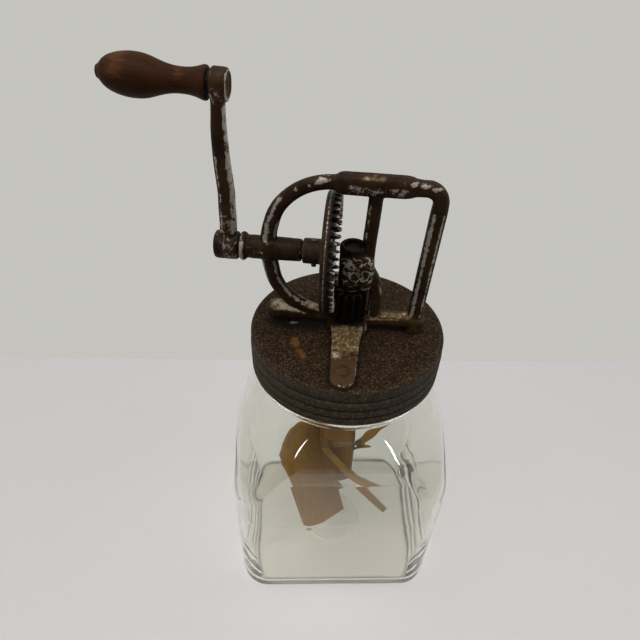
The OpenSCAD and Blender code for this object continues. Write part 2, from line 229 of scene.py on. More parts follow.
def fuse(o, voxel, smooth, factor=0.5):
    """One skin over all overlapping bodies, with softened inner corners."""
    m = o.modifiers.new("skin", "REMESH")
    m.mode = "VOXEL"
    m.voxel_size = voxel * MM
    m.adaptivity = 0.0
    if smooth:
        s = o.modifiers.new("soft", "SMOOTH")
        s.factor = factor
        s.iterations = smooth
    return applied(o)


def cut(o, tools):
    """Cuts bores; tools are (V, F) in lid-frame mm."""
    for i, (v, f) in enumerate(tools):
        t = make("tool%d" % i, v, f, on_lid=True)
        b = o.modifiers.new("bore", "BOOLEAN")
        b.operation = "DIFFERENCE"
        b.solver = "EXACT"
        b.object = t
        applied(o)
        me = t.data
        bpy.data.objects.remove(t)
        bpy.data.meshes.remove(me)
    return o


def coords(me):
    co = np.zeros(len(me.vertices) * 3)
    me.vertices.foreach_get("co", co)
    return co.reshape(-1, 3)


def normals(me):
    no = np.zeros(len(me.vertices) * 3)
    me.vertices.foreach_get("normal", no)
    return no.reshape(-1, 3)


def edges_of(me):
    ed = np.zeros(len(me.edges) * 2, int)
    me.edges.foreach_get("vertices", ed)
    return ed.reshape(-1, 2)


def put_attr(me, name, val):
    val = np.asarray(val, float)
    if val.ndim == 1:
        a = me.attributes.new(name, "FLOAT", "POINT")
        a.data.foreach_set("value", val)
    else:
        a = me.attributes.new(name, "FLOAT_VECTOR", "POINT")
        a.data.foreach_set("vector", val.ravel())


def sstep(x, a, b):
    t = np.clip((np.asarray(x, float) - a) / (b - a), 0, 1)
    return t * t * (3 - 2 * t)


def convexity(me, rounds=6):
    """Mean curvature in 1/mm, positive on outer edges, smoothed over the surface."""
    co, no, ed = coords(me) / MM, normals(me), edges_of(me)
    n = len(co)
    d = co[ed[:, 1]] - co[ed[:, 0]]
    L2 = np.maximum((d * d).sum(1), 1e-9)
    cnt = np.bincount(ed.ravel(), minlength=n).astype(float)
    h = np.bincount(ed[:, 0], -(d * no[ed[:, 0]]).sum(1) / L2, n)
    h += np.bincount(ed[:, 1], (d * no[ed[:, 1]]).sum(1) / L2, n)
    h = 2 * h / np.maximum(cnt, 1)
    h = np.clip(h, -2, 2)
    for _ in range(rounds):
        s = np.bincount(ed[:, 0], h[ed[:, 1]], n) + np.bincount(ed[:, 1], h[ed[:, 0]], n)
        h = 0.5 * h + 0.5 * s / np.maximum(cnt, 1)
    return h


def wavy(P, scale, seed):
    """Smooth noise in -1..1 at points P (mm), features about scale mm."""
    off = Vector((seed * 13.7, seed * 7.3, seed * 3.1))
    return np.array([noise.noise(Vector(p) / scale + off) for p in P])


def displace(o, amp, scale, seed, mask=None):
    me = o.data
    co, no = coords(me) / MM, normals(me)
    w = wavy(co, scale, seed) * amp
    if mask is not None:
        w = w * mask
    co = co + no * w[:, None]
    me.vertices.foreach_set("co", (co * MM).ravel())
    me.update()


# --------------------------------------------------------------------------
# material helpers
# --------------------------------------------------------------------------

class Mat:
    def __init__(self, name):
        self.m = bpy.data.materials.new(name)
        self.m.use_nodes = True
        self.nt = self.m.node_tree
        self.nt.nodes.clear()
        self.out = self.nt.nodes.new("ShaderNodeOutputMaterial")
        self.p = self.nt.nodes.new("ShaderNodeBsdfPrincipled")
        self.nt.links.new(self.p.outputs[0], self.out.inputs["Surface"])
        self.pos = self.nt.nodes.new("ShaderNodeTexCoord").outputs["Object"]

    def link(self, a, b):
        self.nt.links.new(a, b)

    def set(self, **kw):
        for k, v in kw.items():
            s = self.p.inputs[k.replace("_", " ")]
            if hasattr(v, "is_output"):
                self.link(v, s)
            else:
                s.default_value = v

    def attr(self, name, vector=False):
        n = self.nt.nodes.new("ShaderNodeAttribute")
        n.attribute_name = name
        return n.outputs["Vector" if vector else "Fac"]

    def mapped(self, vec, scale=(1, 1, 1), loc=(0, 0, 0), rot=(0, 0, 0)):
        n = self.nt.nodes.new("ShaderNodeMapping")
        n.inputs["Scale"].default_value = scale
        n.inputs["Location"].default_value = loc
        n.inputs["Rotation"].default_value = rot
        self.link(vec, n.inputs["Vector"])
        return n.outputs[0]

    def noise(self, scale, detail=4.0, rough=0.55, vec=None, dist=0.0):
        n = self.nt.nodes.new("ShaderNodeTexNoise")
        n.inputs["Scale"].default_value = scale
        n.inputs["Detail"].default_value = detail
        n.inputs["Roughness"].default_value = rough
        n.inputs["Distortion"].default_value = dist
        self.link(self.pos if vec is None else vec, n.inputs["Vector"])
        return n.outputs["Fac"]

    def voronoi(self, scale, vec=None, feature="F1", rand=1.0):
        n = self.nt.nodes.new("ShaderNodeTexVoronoi")
        n.feature = feature
        n.inputs["Scale"].default_value = scale
        n.inputs["Randomness"].default_value = rand
        self.link(self.pos if vec is None else vec, n.inputs["Vector"])
        return n.outputs["Distance"]

    def wave(self, scale, dist, vec, detail=3.0, dscale=1.0, bands="X"):
        n = self.nt.nodes.new("ShaderNodeTexWave")
        n.wave_type = "BANDS"
        n.bands_direction = bands
        n.inputs["Scale"].default_value = scale
        n.inputs["Distortion"].default_value = dist
        n.inputs["Detail"].default_value = detail
        n.inputs["Detail Scale"].default_value = dscale
        self.link(vec, n.inputs["Vector"])
        return n.outputs["Fac"]

    def val(self, op, a, b=None, clamp=False):
        n = self.nt.nodes.new("ShaderNodeMath")
        n.operation = op
        n.use_clamp = clamp
        for i, v in enumerate((a, b)):
            if v is None:
                continue
            if hasattr(v, "is_output"):
                self.link(v, n.inputs[i])
            else:
                n.inputs[i].default_value = v
        return n.outputs[0]

    def ramp(self, fac, lo, hi, a=0.0, b=1.0):
        n = self.nt.nodes.new("ShaderNodeMapRange")
        n.interpolation_type = "SMOOTHSTEP"
        n.inputs["From Min"].default_value = lo
        n.inputs["From Max"].default_value = hi
        n.inputs["To Min"].default_value = a
        n.inputs["To Max"].default_value = b
        self.link(fac, n.inputs["Value"])
        return n.outputs[0]

    def mix(self, fac, a, b, mode="MIX"):
        n = self.nt.nodes.new("ShaderNodeMix")
        n.data_type = "RGBA"
        n.blend_type = mode
        for s, v in ((n.inputs[0], fac), (n.inputs[6], a), (n.inputs[7], b)):
            if hasattr(v, "is_output"):
                self.link(v, s)
            else:
                s.default_value = v if isinstance(v, (int, float)) else (*v, 1.0)
        return n.outputs[2]

    def fmix(self, fac, a, b):
        n = self.nt.nodes.new("ShaderNodeMix")
        n.data_type = "FLOAT"
        for s, v in ((n.inputs[0], fac), (n.inputs[2], a), (n.inputs[3], b)):
            if hasattr(v, "is_output"):
                self.link(v, s)
            else:
                s.default_value = v
        return n.outputs[0]

    def bump(self, height, strength, dist, normal=None):
        n = self.nt.nodes.new("ShaderNodeBump")
        n.inputs["Strength"].default_value = strength
        n.inputs["Distance"].default_value = dist
        self.link(height, n.inputs["Height"])
        if normal is not None:
            self.link(normal, n.inputs["Normal"])
        return n.outputs[0]


def painted_casting(name, paint, paint2, metal):
    """Old dark paint on cast metal: worn to grey, rubbed to tan, rusty, and near-black in places, partly grease and
    partly painted shade.
    """
    M = Mat(name)
    big = M.noise(75, 3.0, 0.6)
    mid = M.noise(330, 4.0, 0.62, dist=0.6)
    fine = M.noise(1300, 3.0, 0.6)

    def dev(f, k):
        return M.val("MULTIPLY", M.val("SUBTRACT", f, 0.5), k)

    base = M.mix(M.ramp(big, 0.35, 0.65), paint, paint2)
    base = M.mix(M.attr("tone"), base, (0.082, 0.047, 0.021))
    base = M.mix(M.ramp(mid, 0.52, 0.72, 0.0, 0.55), base, tuple(v * 0.45 for v in paint))
    base = M.mix(M.ramp(fine, 0.56, 0.76, 0.0, 0.40), base, tuple(v * 1.9 for v in paint2))
    w = M.val("ADD", M.attr("wear"), dev(big, 1.0))
    w = M.val("ADD", w, dev(mid, 2.0))
    w = M.val("ADD", w, dev(fine, 0.9))
    bare = M.ramp(w, 0.53, 0.61)
    halo = M.ramp(w, 0.34, 0.52)
    col = M.mix(halo, base, tuple(v * 2.0 for v in paint2))
    col = M.mix(bare, col, M.mix(M.ramp(fine, 0.3, 0.7), metal, tuple(v * 0.6 for v in metal)))
    metallic = M.val("MULTIPLY", bare, 0.3)
    roughn = M.fmix(bare, M.ramp(mid, 0.3, 0.7, 0.46, 0.62), M.ramp(fine, 0.3, 0.7, 0.38, 0.54))
    r = M.val("ADD", M.attr("rub"), dev(mid, 1.6))
    r = M.val("ADD", r, dev(fine, 0.7))
    rb = M.ramp(r, 0.45, 0.72)
    tan = M.mix(M.ramp(fine, 0.35, 0.7), (0.195, 0.128, 0.056), (0.088, 0.052, 0.021))
    tan = M.mix(M.ramp(r, 0.84, 1.0), tan, (0.40, 0.35, 0.26))
    col = M.mix(rb, col, tan)
    col = M.mix(M.attr("rust"), col, M.mix(M.ramp(fine, 0.3, 0.7), (0.085, 0.036, 0.012), (0.040, 0.018, 0.007)))
    # near-black: real grease round the bearings, and painted shade on faces turned sideways or down
    col = M.mix(M.attr("grease_and_shade"), col, M.mix(M.ramp(mid, 0.4, 0.65), (0.0045, 0.0038, 0.0030), (0.0110, 0.0080, 0.0055)))
    metallic = M.val("MULTIPLY", metallic, M.val("SUBTRACT", 1.0, rb))
    roughn = M.fmix(rb, roughn, 0.58)
    h = M.val("ADD", M.val("MULTIPLY", mid, 0.5), M.val("MULTIPLY", fine, 0.35))
    h = M.val("SUBTRACT", h, M.val("MULTIPLY", bare, 0.5))
    M.set(Base_Color=col, Metallic=metallic, Roughness=roughn, Normal=M.bump(h, 0.5, 0.0004))
    M.set(IOR=1.5, Specular_IOR_Level=0.10)
    return M.m


def plain_metal(name, col, col2, rough=0.4, metallic=0.9, grime_and_shade=(0.05, 0.035, 0.025), amount=0.5, spec=0.4):
    M = Mat(name)
    big = M.noise(140, 4.0, 0.6)
    fine = M.noise(1400, 3.0, 0.6)
    streak = M.noise(700, 2.0, 0.5, vec=M.mapped(M.pos, (0.15, 1, 1)))
    c = M.mix(M.ramp(streak, 0.35, 0.65), col, col2)
    g = M.ramp(M.val("ADD", big, M.val("MULTIPLY", M.val("SUBTRACT", fine, 0.5), 0.5)), 0.62 - 0.25 * amount, 0.78 - 0.2 * amount)
    c = M.mix(g, c, grime_and_shade)
    M.set(Base_Color=c, Metallic=M.fmix(g, metallic, 0.25), Roughness=M.fmix(g, M.ramp(fine, 0.3, 0.7, rough - 0.06, rough + 0.1), 0.62),
          Normal=M.bump(M.val("ADD", fine, big), 0.25, 0.00025), Specular_IOR_Level=spec)
    return M.m


def wood(name, dark, mid, light, grain_scale, rough=0.5, ring=1.0, streak=1.0, painted_highlight=None, spec=0.4, rings_by=0.55):
    """Wood with its grain along the 'grain' attribute's first axis (metres)."""
    M = Mat(name)
    g = M.attr("grain", vector=True)
    long = M.mapped(g, (0.07, 1, 1))
    fibre = M.noise(grain_scale * 2.6, 5.0, 0.62, vec=long, dist=0.4)
    cloud = M.noise(grain_scale * 0.22, 3.0, 0.55, vec=M.mapped(g, (0.35, 1, 1)))
    rings = M.wave(grain_scale * 0.28 * ring, 5.5, M.mapped(g, (0.12, 1, 1)), 3.0, 1.4, "Y")
    pores = M.noise(grain_scale * 9.0, 2.0, 0.5, vec=M.mapped(g, (0.045, 1, 1)))
    c = M.mix(M.ramp(rings, 0.15, 0.85, 0.0, rings_by), mid, dark)
    c = M.mix(M.ramp(fibre, 0.35, 0.72, 0.0, 0.62 * streak), c, light)
    c = M.mix(M.ramp(cloud, 0.40, 0.70, 0.0, 0.55), c, dark)
    # painted highlight: a lighter, warmer colour where the wood's upper side catches the light
    if painted_highlight is not None:
        p = M.val("ADD", M.attr("painted_highlight"), M.val("MULTIPLY", M.val("SUBTRACT", fibre, 0.5), 0.9))
        p = M.val("ADD", p, M.val("MULTIPLY", M.val("SUBTRACT", cloud, 0.5), 0.8))
        c = M.mix(M.ramp(p, 0.25, 0.95, 0.0, 0.85), c, painted_highlight)
    c = M.mix(M.ramp(pores, 0.60, 0.74, 0.0, 0.55), c, (dark[0] * 0.45, dark[1] * 0.45, dark[2] * 0.45))
    h = M.val("SUBTRACT", M.val("MULTIPLY", fibre, 0.6), M.ramp(pores, 0.60, 0.74, 0.0, 0.5))
    M.set(Base_Color=c, Roughness=M.ramp(fibre, 0.3, 0.7, rough - 0.06, rough + 0.1),
          Normal=M.bump(h, 0.35, 0.0003), IOR=1.5, Specular_IOR_Level=spec)
    return M.m


# --------------------------------------------------------------------------
# materials
# --------------------------------------------------------------------------

mat_frame = painted_casting("old_paint_frame", (0.0175, 0.0090, 0.0040), (0.0370, 0.0190, 0.0082), (0.47, 0.44, 0.385))
mat_arm = painted_casting("old_paint_arm", (0.0200, 0.0104, 0.0046), (0.0420, 0.0220, 0.0098), (0.47, 0.44, 0.385))


def make_gear_mat():
    M = Mat("greasy_cast_gear")
    big = M.noise(160, 4.0, 0.6)
    mid = M.noise(620, 4.0, 0.6)
    fine = M.noise(2200, 3.0, 0.6)
    base = M.mix(M.ramp(big, 0.35, 0.65), (0.018, 0.0105, 0.0058), (0.042, 0.0245, 0.0132))
    w = M.val("ADD", M.attr("wear"), M.val("MULTIPLY", M.val("SUBTRACT", mid, 0.5), 0.8))
    w = M.val("ADD", w, M.val("MULTIPLY", M.val("SUBTRACT", fine, 0.5), 0.3))
    bare = M.ramp(w, 0.50, 0.68)
    c = M.mix(M.ramp(w, 0.30, 0.55), base, (0.060, 0.037, 0.021))
    c = M.mix(bare, c, (0.36, 0.325, 0.28))
    # near-black in the tooth roots: grease, and painted shade in the recesses between the teeth
    c = M.mix(M.attr("grease_and_shade"), c, (0.0045, 0.0036, 0.0028))
    M.set(Base_Color=c, Metallic=M.val("MULTIPLY", bare, 0.45), Roughness=M.fmix(bare, M.ramp(big, 0.3, 0.7, 0.34, 0.52), 0.36),
          Normal=M.bump(M.val("ADD", mid, M.val("MULTIPLY", fine, 0.6)), 0.5, 0.0004), Specular_IOR_Level=0.08)
    return M.m


def make_pinion_mat():
    M = Mat("greasy_black_pinion")
    big = M.noise(260, 4.0, 0.6)
    fine = M.noise(1600, 3.0, 0.6)
    w = M.val("ADD", M.attr("wear"), M.val("MULTIPLY", M.val("SUBTRACT", fine, 0.5), 0.9))
    bare = M.ramp(w, 0.78, 1.0)
    c = M.mix(M.ramp(big, 0.35, 0.7), (0.0045, 0.0040, 0.0034), (0.012, 0.0090, 0.0068))
    c = M.mix(bare, c, (0.10, 0.085, 0.070))
    M.set(Base_Color=c, Metallic=M.val("MULTIPLY", bare, 0.5), Roughness=M.ramp(big, 0.3, 0.7, 0.28, 0.52),
          Normal=M.bump(M.val("ADD", big, M.val("MULTIPLY", fine, 0.4)), 0.6, 0.0005), Specular_IOR_Level=0.14)
    return M.m


def make_lid_mat():
    M = Mat("rusty_lid")
    big = M.noise(38, 4.0, 0.6)
    mid = M.noise(240, 4.0, 0.62)
    speck = M.noise(850, 4.0, 0.70)
    fine = M.noise(2000, 2.0, 0.6)
    top = M.attr("top")
    c = M.mix(M.ramp(big, 0.35, 0.68), (0.0205, 0.0116, 0.0054), (0.0290, 0.0170, 0.0082))
    c = M.mix(M.ramp(speck, 0.52, 0.63, 0.0, 1.0), c, (0.092, 0.057, 0.029))
    c = M.mix(M.ramp(speck, 0.40, 0.48, 1.0, 0.0), c, (0.0070, 0.0040, 0.0022))
    c = M.mix(M.ramp(mid, 0.56, 0.74, 0.0, 0.45), c, (0.044, 0.024, 0.0105))
    side = M.mix(M.ramp(mid, 0.35, 0.7), (0.0400, 0.0315, 0.0215), (0.0620, 0.0485, 0.0335))
    side = M.mix(M.ramp(speck, 0.52, 0.64, 0.0, 0.8), side, (0.125, 0.098, 0.068))
    side = M.mix(M.ramp(speck, 0.36, 0.47, 0.6, 0.0), side, (0.0090, 0.0066, 0.0048))
    c = M.mix(top, side, c)
    r = M.val("ADD", M.attr("rust"), M.val("MULTIPLY", M.val("SUBTRACT", mid, 0.5), 1.1))
    r = M.val("ADD", r, M.val("MULTIPLY", M.val("SUBTRACT", speck, 0.5), 0.8))
    c = M.mix(M.ramp(r, 0.40, 1.05, 0.0, 0.80), c, (0.150, 0.066, 0.014))
    # near-black painted shade in the lid's grooves, and painted shadow under the frame's feet
    c = M.mix(M.attr("grime_and_shade"), c, (0.0055, 0.0040, 0.0030))
    c = M.mix(M.attr("spot"), c, (0.44, 0.42, 0.38))
    h = M.val("ADD", M.val("MULTIPLY", speck, 0.7), M.val("MULTIPLY", fine, 0.4))
    M.set(Base_Color=c, Metallic=0.0, Roughness=M.ramp(speck, 0.3, 0.7, 0.58, 0.8),
          Normal=M.bump(h, 0.6, 0.0005), IOR=1.5, Specular_IOR_Level=0.08)
    return M.m


def make_glass():
    """Clear glass; old milky residue on the floor and in its corner, laid on thicker as painted shade that darkens the
    floor and the lines round its edge.
    """
    M = Mat("old_clear_glass")
    n = M.noise(70, 4.0, 0.6, vec=M.mapped(M.pos, (0.25, 1.0, 1.0)))
    film_and_shade = M.val("MULTIPLY", M.attr("film_and_shade"), M.ramp(n, 0.3, 0.7, 0.85, 1.12), clamp=True)
    old = M.mix(M.ramp(film_and_shade, 0.62, 0.85), (0.20, 0.138, 0.118), (0.050, 0.047, 0.038))
    M.set(Base_Color=M.mix(film_and_shade, (0.920, 0.925, 0.876), old), Roughness=0.0, IOR=1.5,
          Transmission_Weight=M.val("SUBTRACT", 1.0, film_and_shade))
    t = M.nt.nodes.new("ShaderNodeBsdfTransparent")
    t.inputs["Color"].default_value = (0.93, 0.93, 0.91, 1.0)
    lp = M.nt.nodes.new("ShaderNodeLightPath")
    mx = M.nt.nodes.new("ShaderNodeMixShader")
    M.link(lp.outputs["Is Shadow Ray"], mx.inputs[0])
    M.link(M.p.outputs[0], mx.inputs[1])
    M.link(t.outputs[0], mx.inputs[2])
    M.link(mx.outputs[0], M.out.inputs["Surface"])
    return M.m


def make_rubber():
    M = Mat("old_rubber")
    n = M.noise(300, 4.0, 0.6)
    M.set(Base_Color=M.mix(M.ramp(n, 0.3, 0.7), (0.16, 0.055, 0.03), (0.26, 0.10, 0.055)), Roughness=M.ramp(n, 0.3, 0.7, 0.6, 0.8),
          Normal=M.bump(n, 0.3, 0.0003))
    return M.m


mat_gear = make_gear_mat()
mat_pinion = make_pinion_mat()
mat_lid = make_lid_mat()
mat_glass = make_glass()
mat_rubber = make_rubber()
mat_steel = plain_metal("dull_steel", (0.105, 0.085, 0.066), (0.165, 0.140, 0.112), 0.45, 0.5, (0.034, 0.020, 0.011), 0.8, 0.15)
mat_dark = plain_metal("dark_washer", (0.012, 0.008, 0.006), (0.022, 0.015, 0.011), 0.55, 0.1, (0.008, 0.0055, 0.004), 0.6, 0.06)
mat_rust = plain_metal("rusty_steel", (0.058, 0.029, 0.012), (0.090, 0.047, 0.021), 0.55, 0.1, (0.036, 0.018, 0.008), 0.7, 0.08)


def make_shaft_mat():
    """Greasy black round the pinion and in the oil cup, brown below the lid."""
    M = Mat("oily_shaft")
    big = M.noise(140, 4.0, 0.6)
    fine = M.noise(1400, 3.0, 0.6)
    sep = M.nt.nodes.new("ShaderNodeSeparateXYZ")
    M.link(M.pos, sep.inputs[0])
    high = M.ramp(sep.outputs["Z"], 0.218, 0.228)
    low = M.mix(M.ramp(big, 0.35, 0.65), (0.070, 0.034, 0.012), (0.105, 0.054, 0.022))
    low = M.mix(M.ramp(fine, 0.52, 0.7, 0.0, 0.6), low, (0.040, 0.019, 0.008))
    oil = M.mix(M.ramp(big, 0.35, 0.65), (0.0080, 0.0060, 0.0045), (0.018, 0.013, 0.0090))
    M.set(Base_Color=M.mix(high, low, oil), Metallic=0.1, Roughness=M.ramp(fine, 0.3, 0.7, 0.42, 0.6), Specular_IOR_Level=0.10,
          Normal=M.bump(M.val("ADD", fine, big), 0.25, 0.00025))
    return M.m


mat_oily = make_shaft_mat()
mat_brass = plain_metal("dull_bearing", (0.36, 0.27, 0.13), (0.26, 0.19, 0.10), 0.42)
mat_rivet = plain_metal("painted_rivet", (0.064, 0.036, 0.015), (0.090, 0.052, 0.023), 0.6, 0.05, (0.040, 0.022, 0.009), 0.7, 0.06)

# the handle's warm fourth colour is its painted highlight
mat_handle = wood("varnished_handle", (0.022, 0.0076, 0.0032), (0.048, 0.0180, 0.0076), (0.088, 0.0340, 0.0125), 420, 0.5, 0.7, 0.4, (0.140, 0.055, 0.018), 0.05, 0.4)
mat_blade = wood("dasher_board", (0.122, 0.054, 0.0060), (0.182, 0.088, 0.0105), (0.245, 0.128, 0.0200), 300, 0.6, spec=0.15, rings_by=0.15)
mat_hub = wood("dasher_block", (0.098, 0.044, 0.0060), (0.150, 0.072, 0.0100), (0.205, 0.104, 0.0180), 360, 0.6, spec=0.15, rings_by=0.2)


def dress(o, mat):
    o.data.materials.clear()
    o.data.materials.append(mat)


# --------------------------------------------------------------------------
# glass jar
# --------------------------------------------------------------------------

def rect_r(th, a, b, rc):
    """Distance from the centre to a rounded rectangle's edge along each angle."""
    c, s = np.abs(np.cos(th)), np.abs(np.sin(th))
    r = np.minimum(a / np.maximum(c, 1e-9), b / np.maximum(s, 1e-9))
    cx, cy = a - rc, b - rc
    x, y = r * c, r * s
    corner = (x > cx) & (y > cy)
    pb = c * cx + s * cy
    q = pb * pb - (cx * cx + cy * cy - rc * rc)
    rr = pb + np.sqrt(np.maximum(q, 0))
    return np.where(corner, rr, r)


def smin(a, b, k):
    h = np.maximum(k - np.abs(a - b), 0) / k
    return np.minimum(a, b) - h * h * k * 0.25


def dense(zs, rs, m=12):
    """Smooth curve through a table of heights and radii."""
    S = spline(np.column_stack([zs, rs]), m)
    return S[:, 0], S[:, 1]


def build_jar():
    n = 420
    # angles evenly spread along a rounded rectangle, so that corners get their share
    tt = np.linspace(0, 2 * np.pi, 4001)
    rr = rect_r(tt, 73.5, 62.0, 21.0)
    xy = np.stack([rr * np.cos(tt), rr * np.sin(tt)], 1)
    ln = np.concatenate([[0], np.cumsum(np.linalg.norm(np.diff(xy, axis=0), axis=1))])
    th = np.interp(np.linspace(0, ln[-1], n, endpoint=False), ln, tt)

    ZS, RS = dense([80, 92, 104, 114, 124, 133, 142, 151, 159, 167, 175, 182, 188, 193.2, 197],
                   [109, 102.2, 95.0, 89.2, 83.4, 78.9, 74.9, 71.2, 68.3, 65.8, 63.3, 61.1, 59.2, 57.4, 56.2])

    def half(z):
        """Half width and half depth: the broad faces lean in a little towards the top."""
        t = min(max((z - 92.0) / 84.0, 0.0), 1.0)
        return 73.5 - 0.6 * t, 62.0 - 4.2 * t

    def outer(z):
        a, b = half(z)
        base = rect_r(th, a, b, 21.0)
        if z > 82:
            base = smin(base, np.full_like(th, np.interp(z, ZS, RS)), 3.5)
        return base

    def inner(z):
        """Thicker walls and tighter corners near the floor."""
        a, b = half(z)
        low = 1 - float(sstep(z, 8, 66))
        ta, tb = 4.4 + 4.1 * low, 4.4 + 0.6 * low
        base = rect_r(th, a - ta, b - tb, 16.6 - 3.0 * low)
        if z > 82:
            base = smin(base, np.full_like(th, np.interp(z, ZS, RS) - 5.0), 3.5)
        return base

    rings = []   # (radius array, z)
    # underside: flat foot ring with a shallow hollow inside it
    heel = 7.2
    foot = rect_r(th, 73.5 - heel, 62 - heel, 21 - heel * 0.83)
    for f, z in ((0.02, 1.5), (0.25, 1.5), (0.5, 1.45), (0.72, 1.3), (0.84, 0.9), (0.90, 0.35), (0.935, 0.05), (1.0, 0.0)):
        rings.append((foot * f, z))
    # heel
    for i in range(1, 11):
        a = math.pi / 2 * i / 10
        ins = heel * (1 - math.sin(a))
        rings.append((rect_r(th, 73.5 - ins, 62 - ins, 21 - ins * 0.83), heel * (1 - math.cos(a))))
    # wall and shoulder
    for z in np.concatenate([np.linspace(12, 80, 10), np.linspace(84, 192.6, 150)]):
        rings.append((outer(z), z))
    # bead under the lid
    for r, z in ((58.1, 193.3), (58.8, 193.7), (59.25, 194.2), (59.4, 194.8), (59.2, 195.5), (58.7, 196.1), (57.9, 196.6), (56.6, 197.1), (55.0, 197.9), (54.0, 198.8), (53.6, 200.0)):
        rings.append((np.full_like(th, r), z))

    # neck with an inclined thread
    def thread(z):
        zt = 205.5 + 8.0 * (th / (2 * np.pi))
        out = np.zeros_like(th)
        for off in (0.0, 8.0):
            u = (z - (zt + off - 4.0)) / 1.9
            lead = sstep(th, 0.0, 0.5) * (1 - sstep(th, 2 * np.pi - 0.5, 2 * np.pi))
            out = np.maximum(out, np.exp(-u * u * 1.6) * (1.0 if off == 0.0 else lead))
        return 1.9 * out * float(sstep(z, 200.5, 203.0)) * float(1 - sstep(z, 215.0, 217.5))
    for z in np.linspace(201, 217.6, 22):
        rings.append((53.5 + thread(z), z))
    for i in range(0, 9):
        a = math.pi * i / 8
        rings.append((np.full_like(th, 51.25 + 2.25 * math.cos(a)), 218.05 + 2.25 * math.sin(a)))
    inner_from = len(rings)
    # mouth and inside of the shoulder
    for r, z in ((49.0, 215), (49.0, 208), (49.0, 202), (49.35, 199.6), (50.1, 197.6), (51.0, 195.6), (51.85, 193.5)):
        rings.append((np.full_like(th, r), z))
    for z in np.concatenate([np.linspace(191, 148, 40), np.linspace(147, 134, 27), np.linspace(133, 84, 48)]):
        rings.append((np.maximum(inner(z), 48.9), z))
    for z in np.linspace(80, 11.6, 22):
        rings.append((inner(z), z))
    # inner heel
    heel_from = len(rings)
    for i in range(1, 9):
        a = math.pi / 2 * i / 8
        ins = 4.0 * (1 - math.cos(a))
        rings.append((rect_r(th, 65.0 - ins, 57.0 - ins, 13.6 - ins * 0.9), 6.4 + 4.0 * (1 - math.sin(a))))
    # floor with its raised ring
    floor = rect_r(th, 61.0, 53.0, 10.0)
    for t in (0.86, 0.70, 0.56):
        rings.append((np.maximum(floor * t, 27.0 + 2.0 * t), 6.35))
    for r, z in ((25.9, 6.3), (25.2, 6.45), (24.6, 6.75), (23.9, 6.9), (23.2, 6.75), (22.6, 6.45), (21.9, 6.28), (16.0, 6.25), (8.0, 6.25), (1.0, 6.25)):
        rings.append((np.full_like(th, r), z))

    V, F = [], []
    c, s = np.cos(th), np.sin(th)
    for i, (r, z) in enumerate(rings):
        r = np.asarray(r, float)
        # pressed glass: the inside wanders a little, mostly near the upright corners
        if i >= inner_from and 16 < z < 186:
            k = float(sstep(z, 16, 34)) * (1 - float(sstep(z, 168, 186)))
            cw = np.abs(np.sin(2 * th)) ** 3
            broad = sstep(np.abs(np.sin(th)), 0.66, 0.94)
            r = r - broad * 0.62 * (max(0.0, (147.0 - z) / 12.0) ** 2 if z > 135 else max(0.0, (z - 95.0) / 40.0))
            r = r + k * (0.25 + 0.75 * cw) * (0.07 * np.sin(2 * th + 0.017 * z) + 0.05 * np.sin(3 * th - 0.029 * z + 1.3) + 0.03 * np.sin(0.055 * z + 5 * th))
        V.append(np.stack([r * c, r * s, np.full_like(th, z)], 1))
    m = len(rings)
    for i in range(m - 1):
        for k in range(n):
            k2 = (k + 1) % n
            F.append((i * n + k, i * n + k2, (i + 1) * n + k2, (i + 1) * n + k))
    F.append(tuple(range(n - 1, -1, -1)))
    F.append(tuple((m - 1) * n + k for k in range(n)))
    o = make("jar_glass", np.vstack(V), F)
    # residue on the floor and in its inner corner, set darker as painted shade for the floor and the dark lines round
    # it
    film_and_shade = np.zeros(m)
    film_and_shade[heel_from:heel_from + 8] = (0.12, 0.40, 0.70, 0.88, 0.90, 0.76, 0.62, 0.54)
    film_and_shade[heel_from + 8:] = 0.51
    film_and_shade[heel_from + 12:heel_from + 17] = 0.38
    put_attr(o.data, "film_and_shade", np.repeat(film_and_shade, n))
    dress(o, mat_glass)
    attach(o, "jar")
    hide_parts("glass_jar")
    return o


jar_glass = build_jar()

# --------------------------------------------------------------------------
# lid
# --------------------------------------------------------------------------

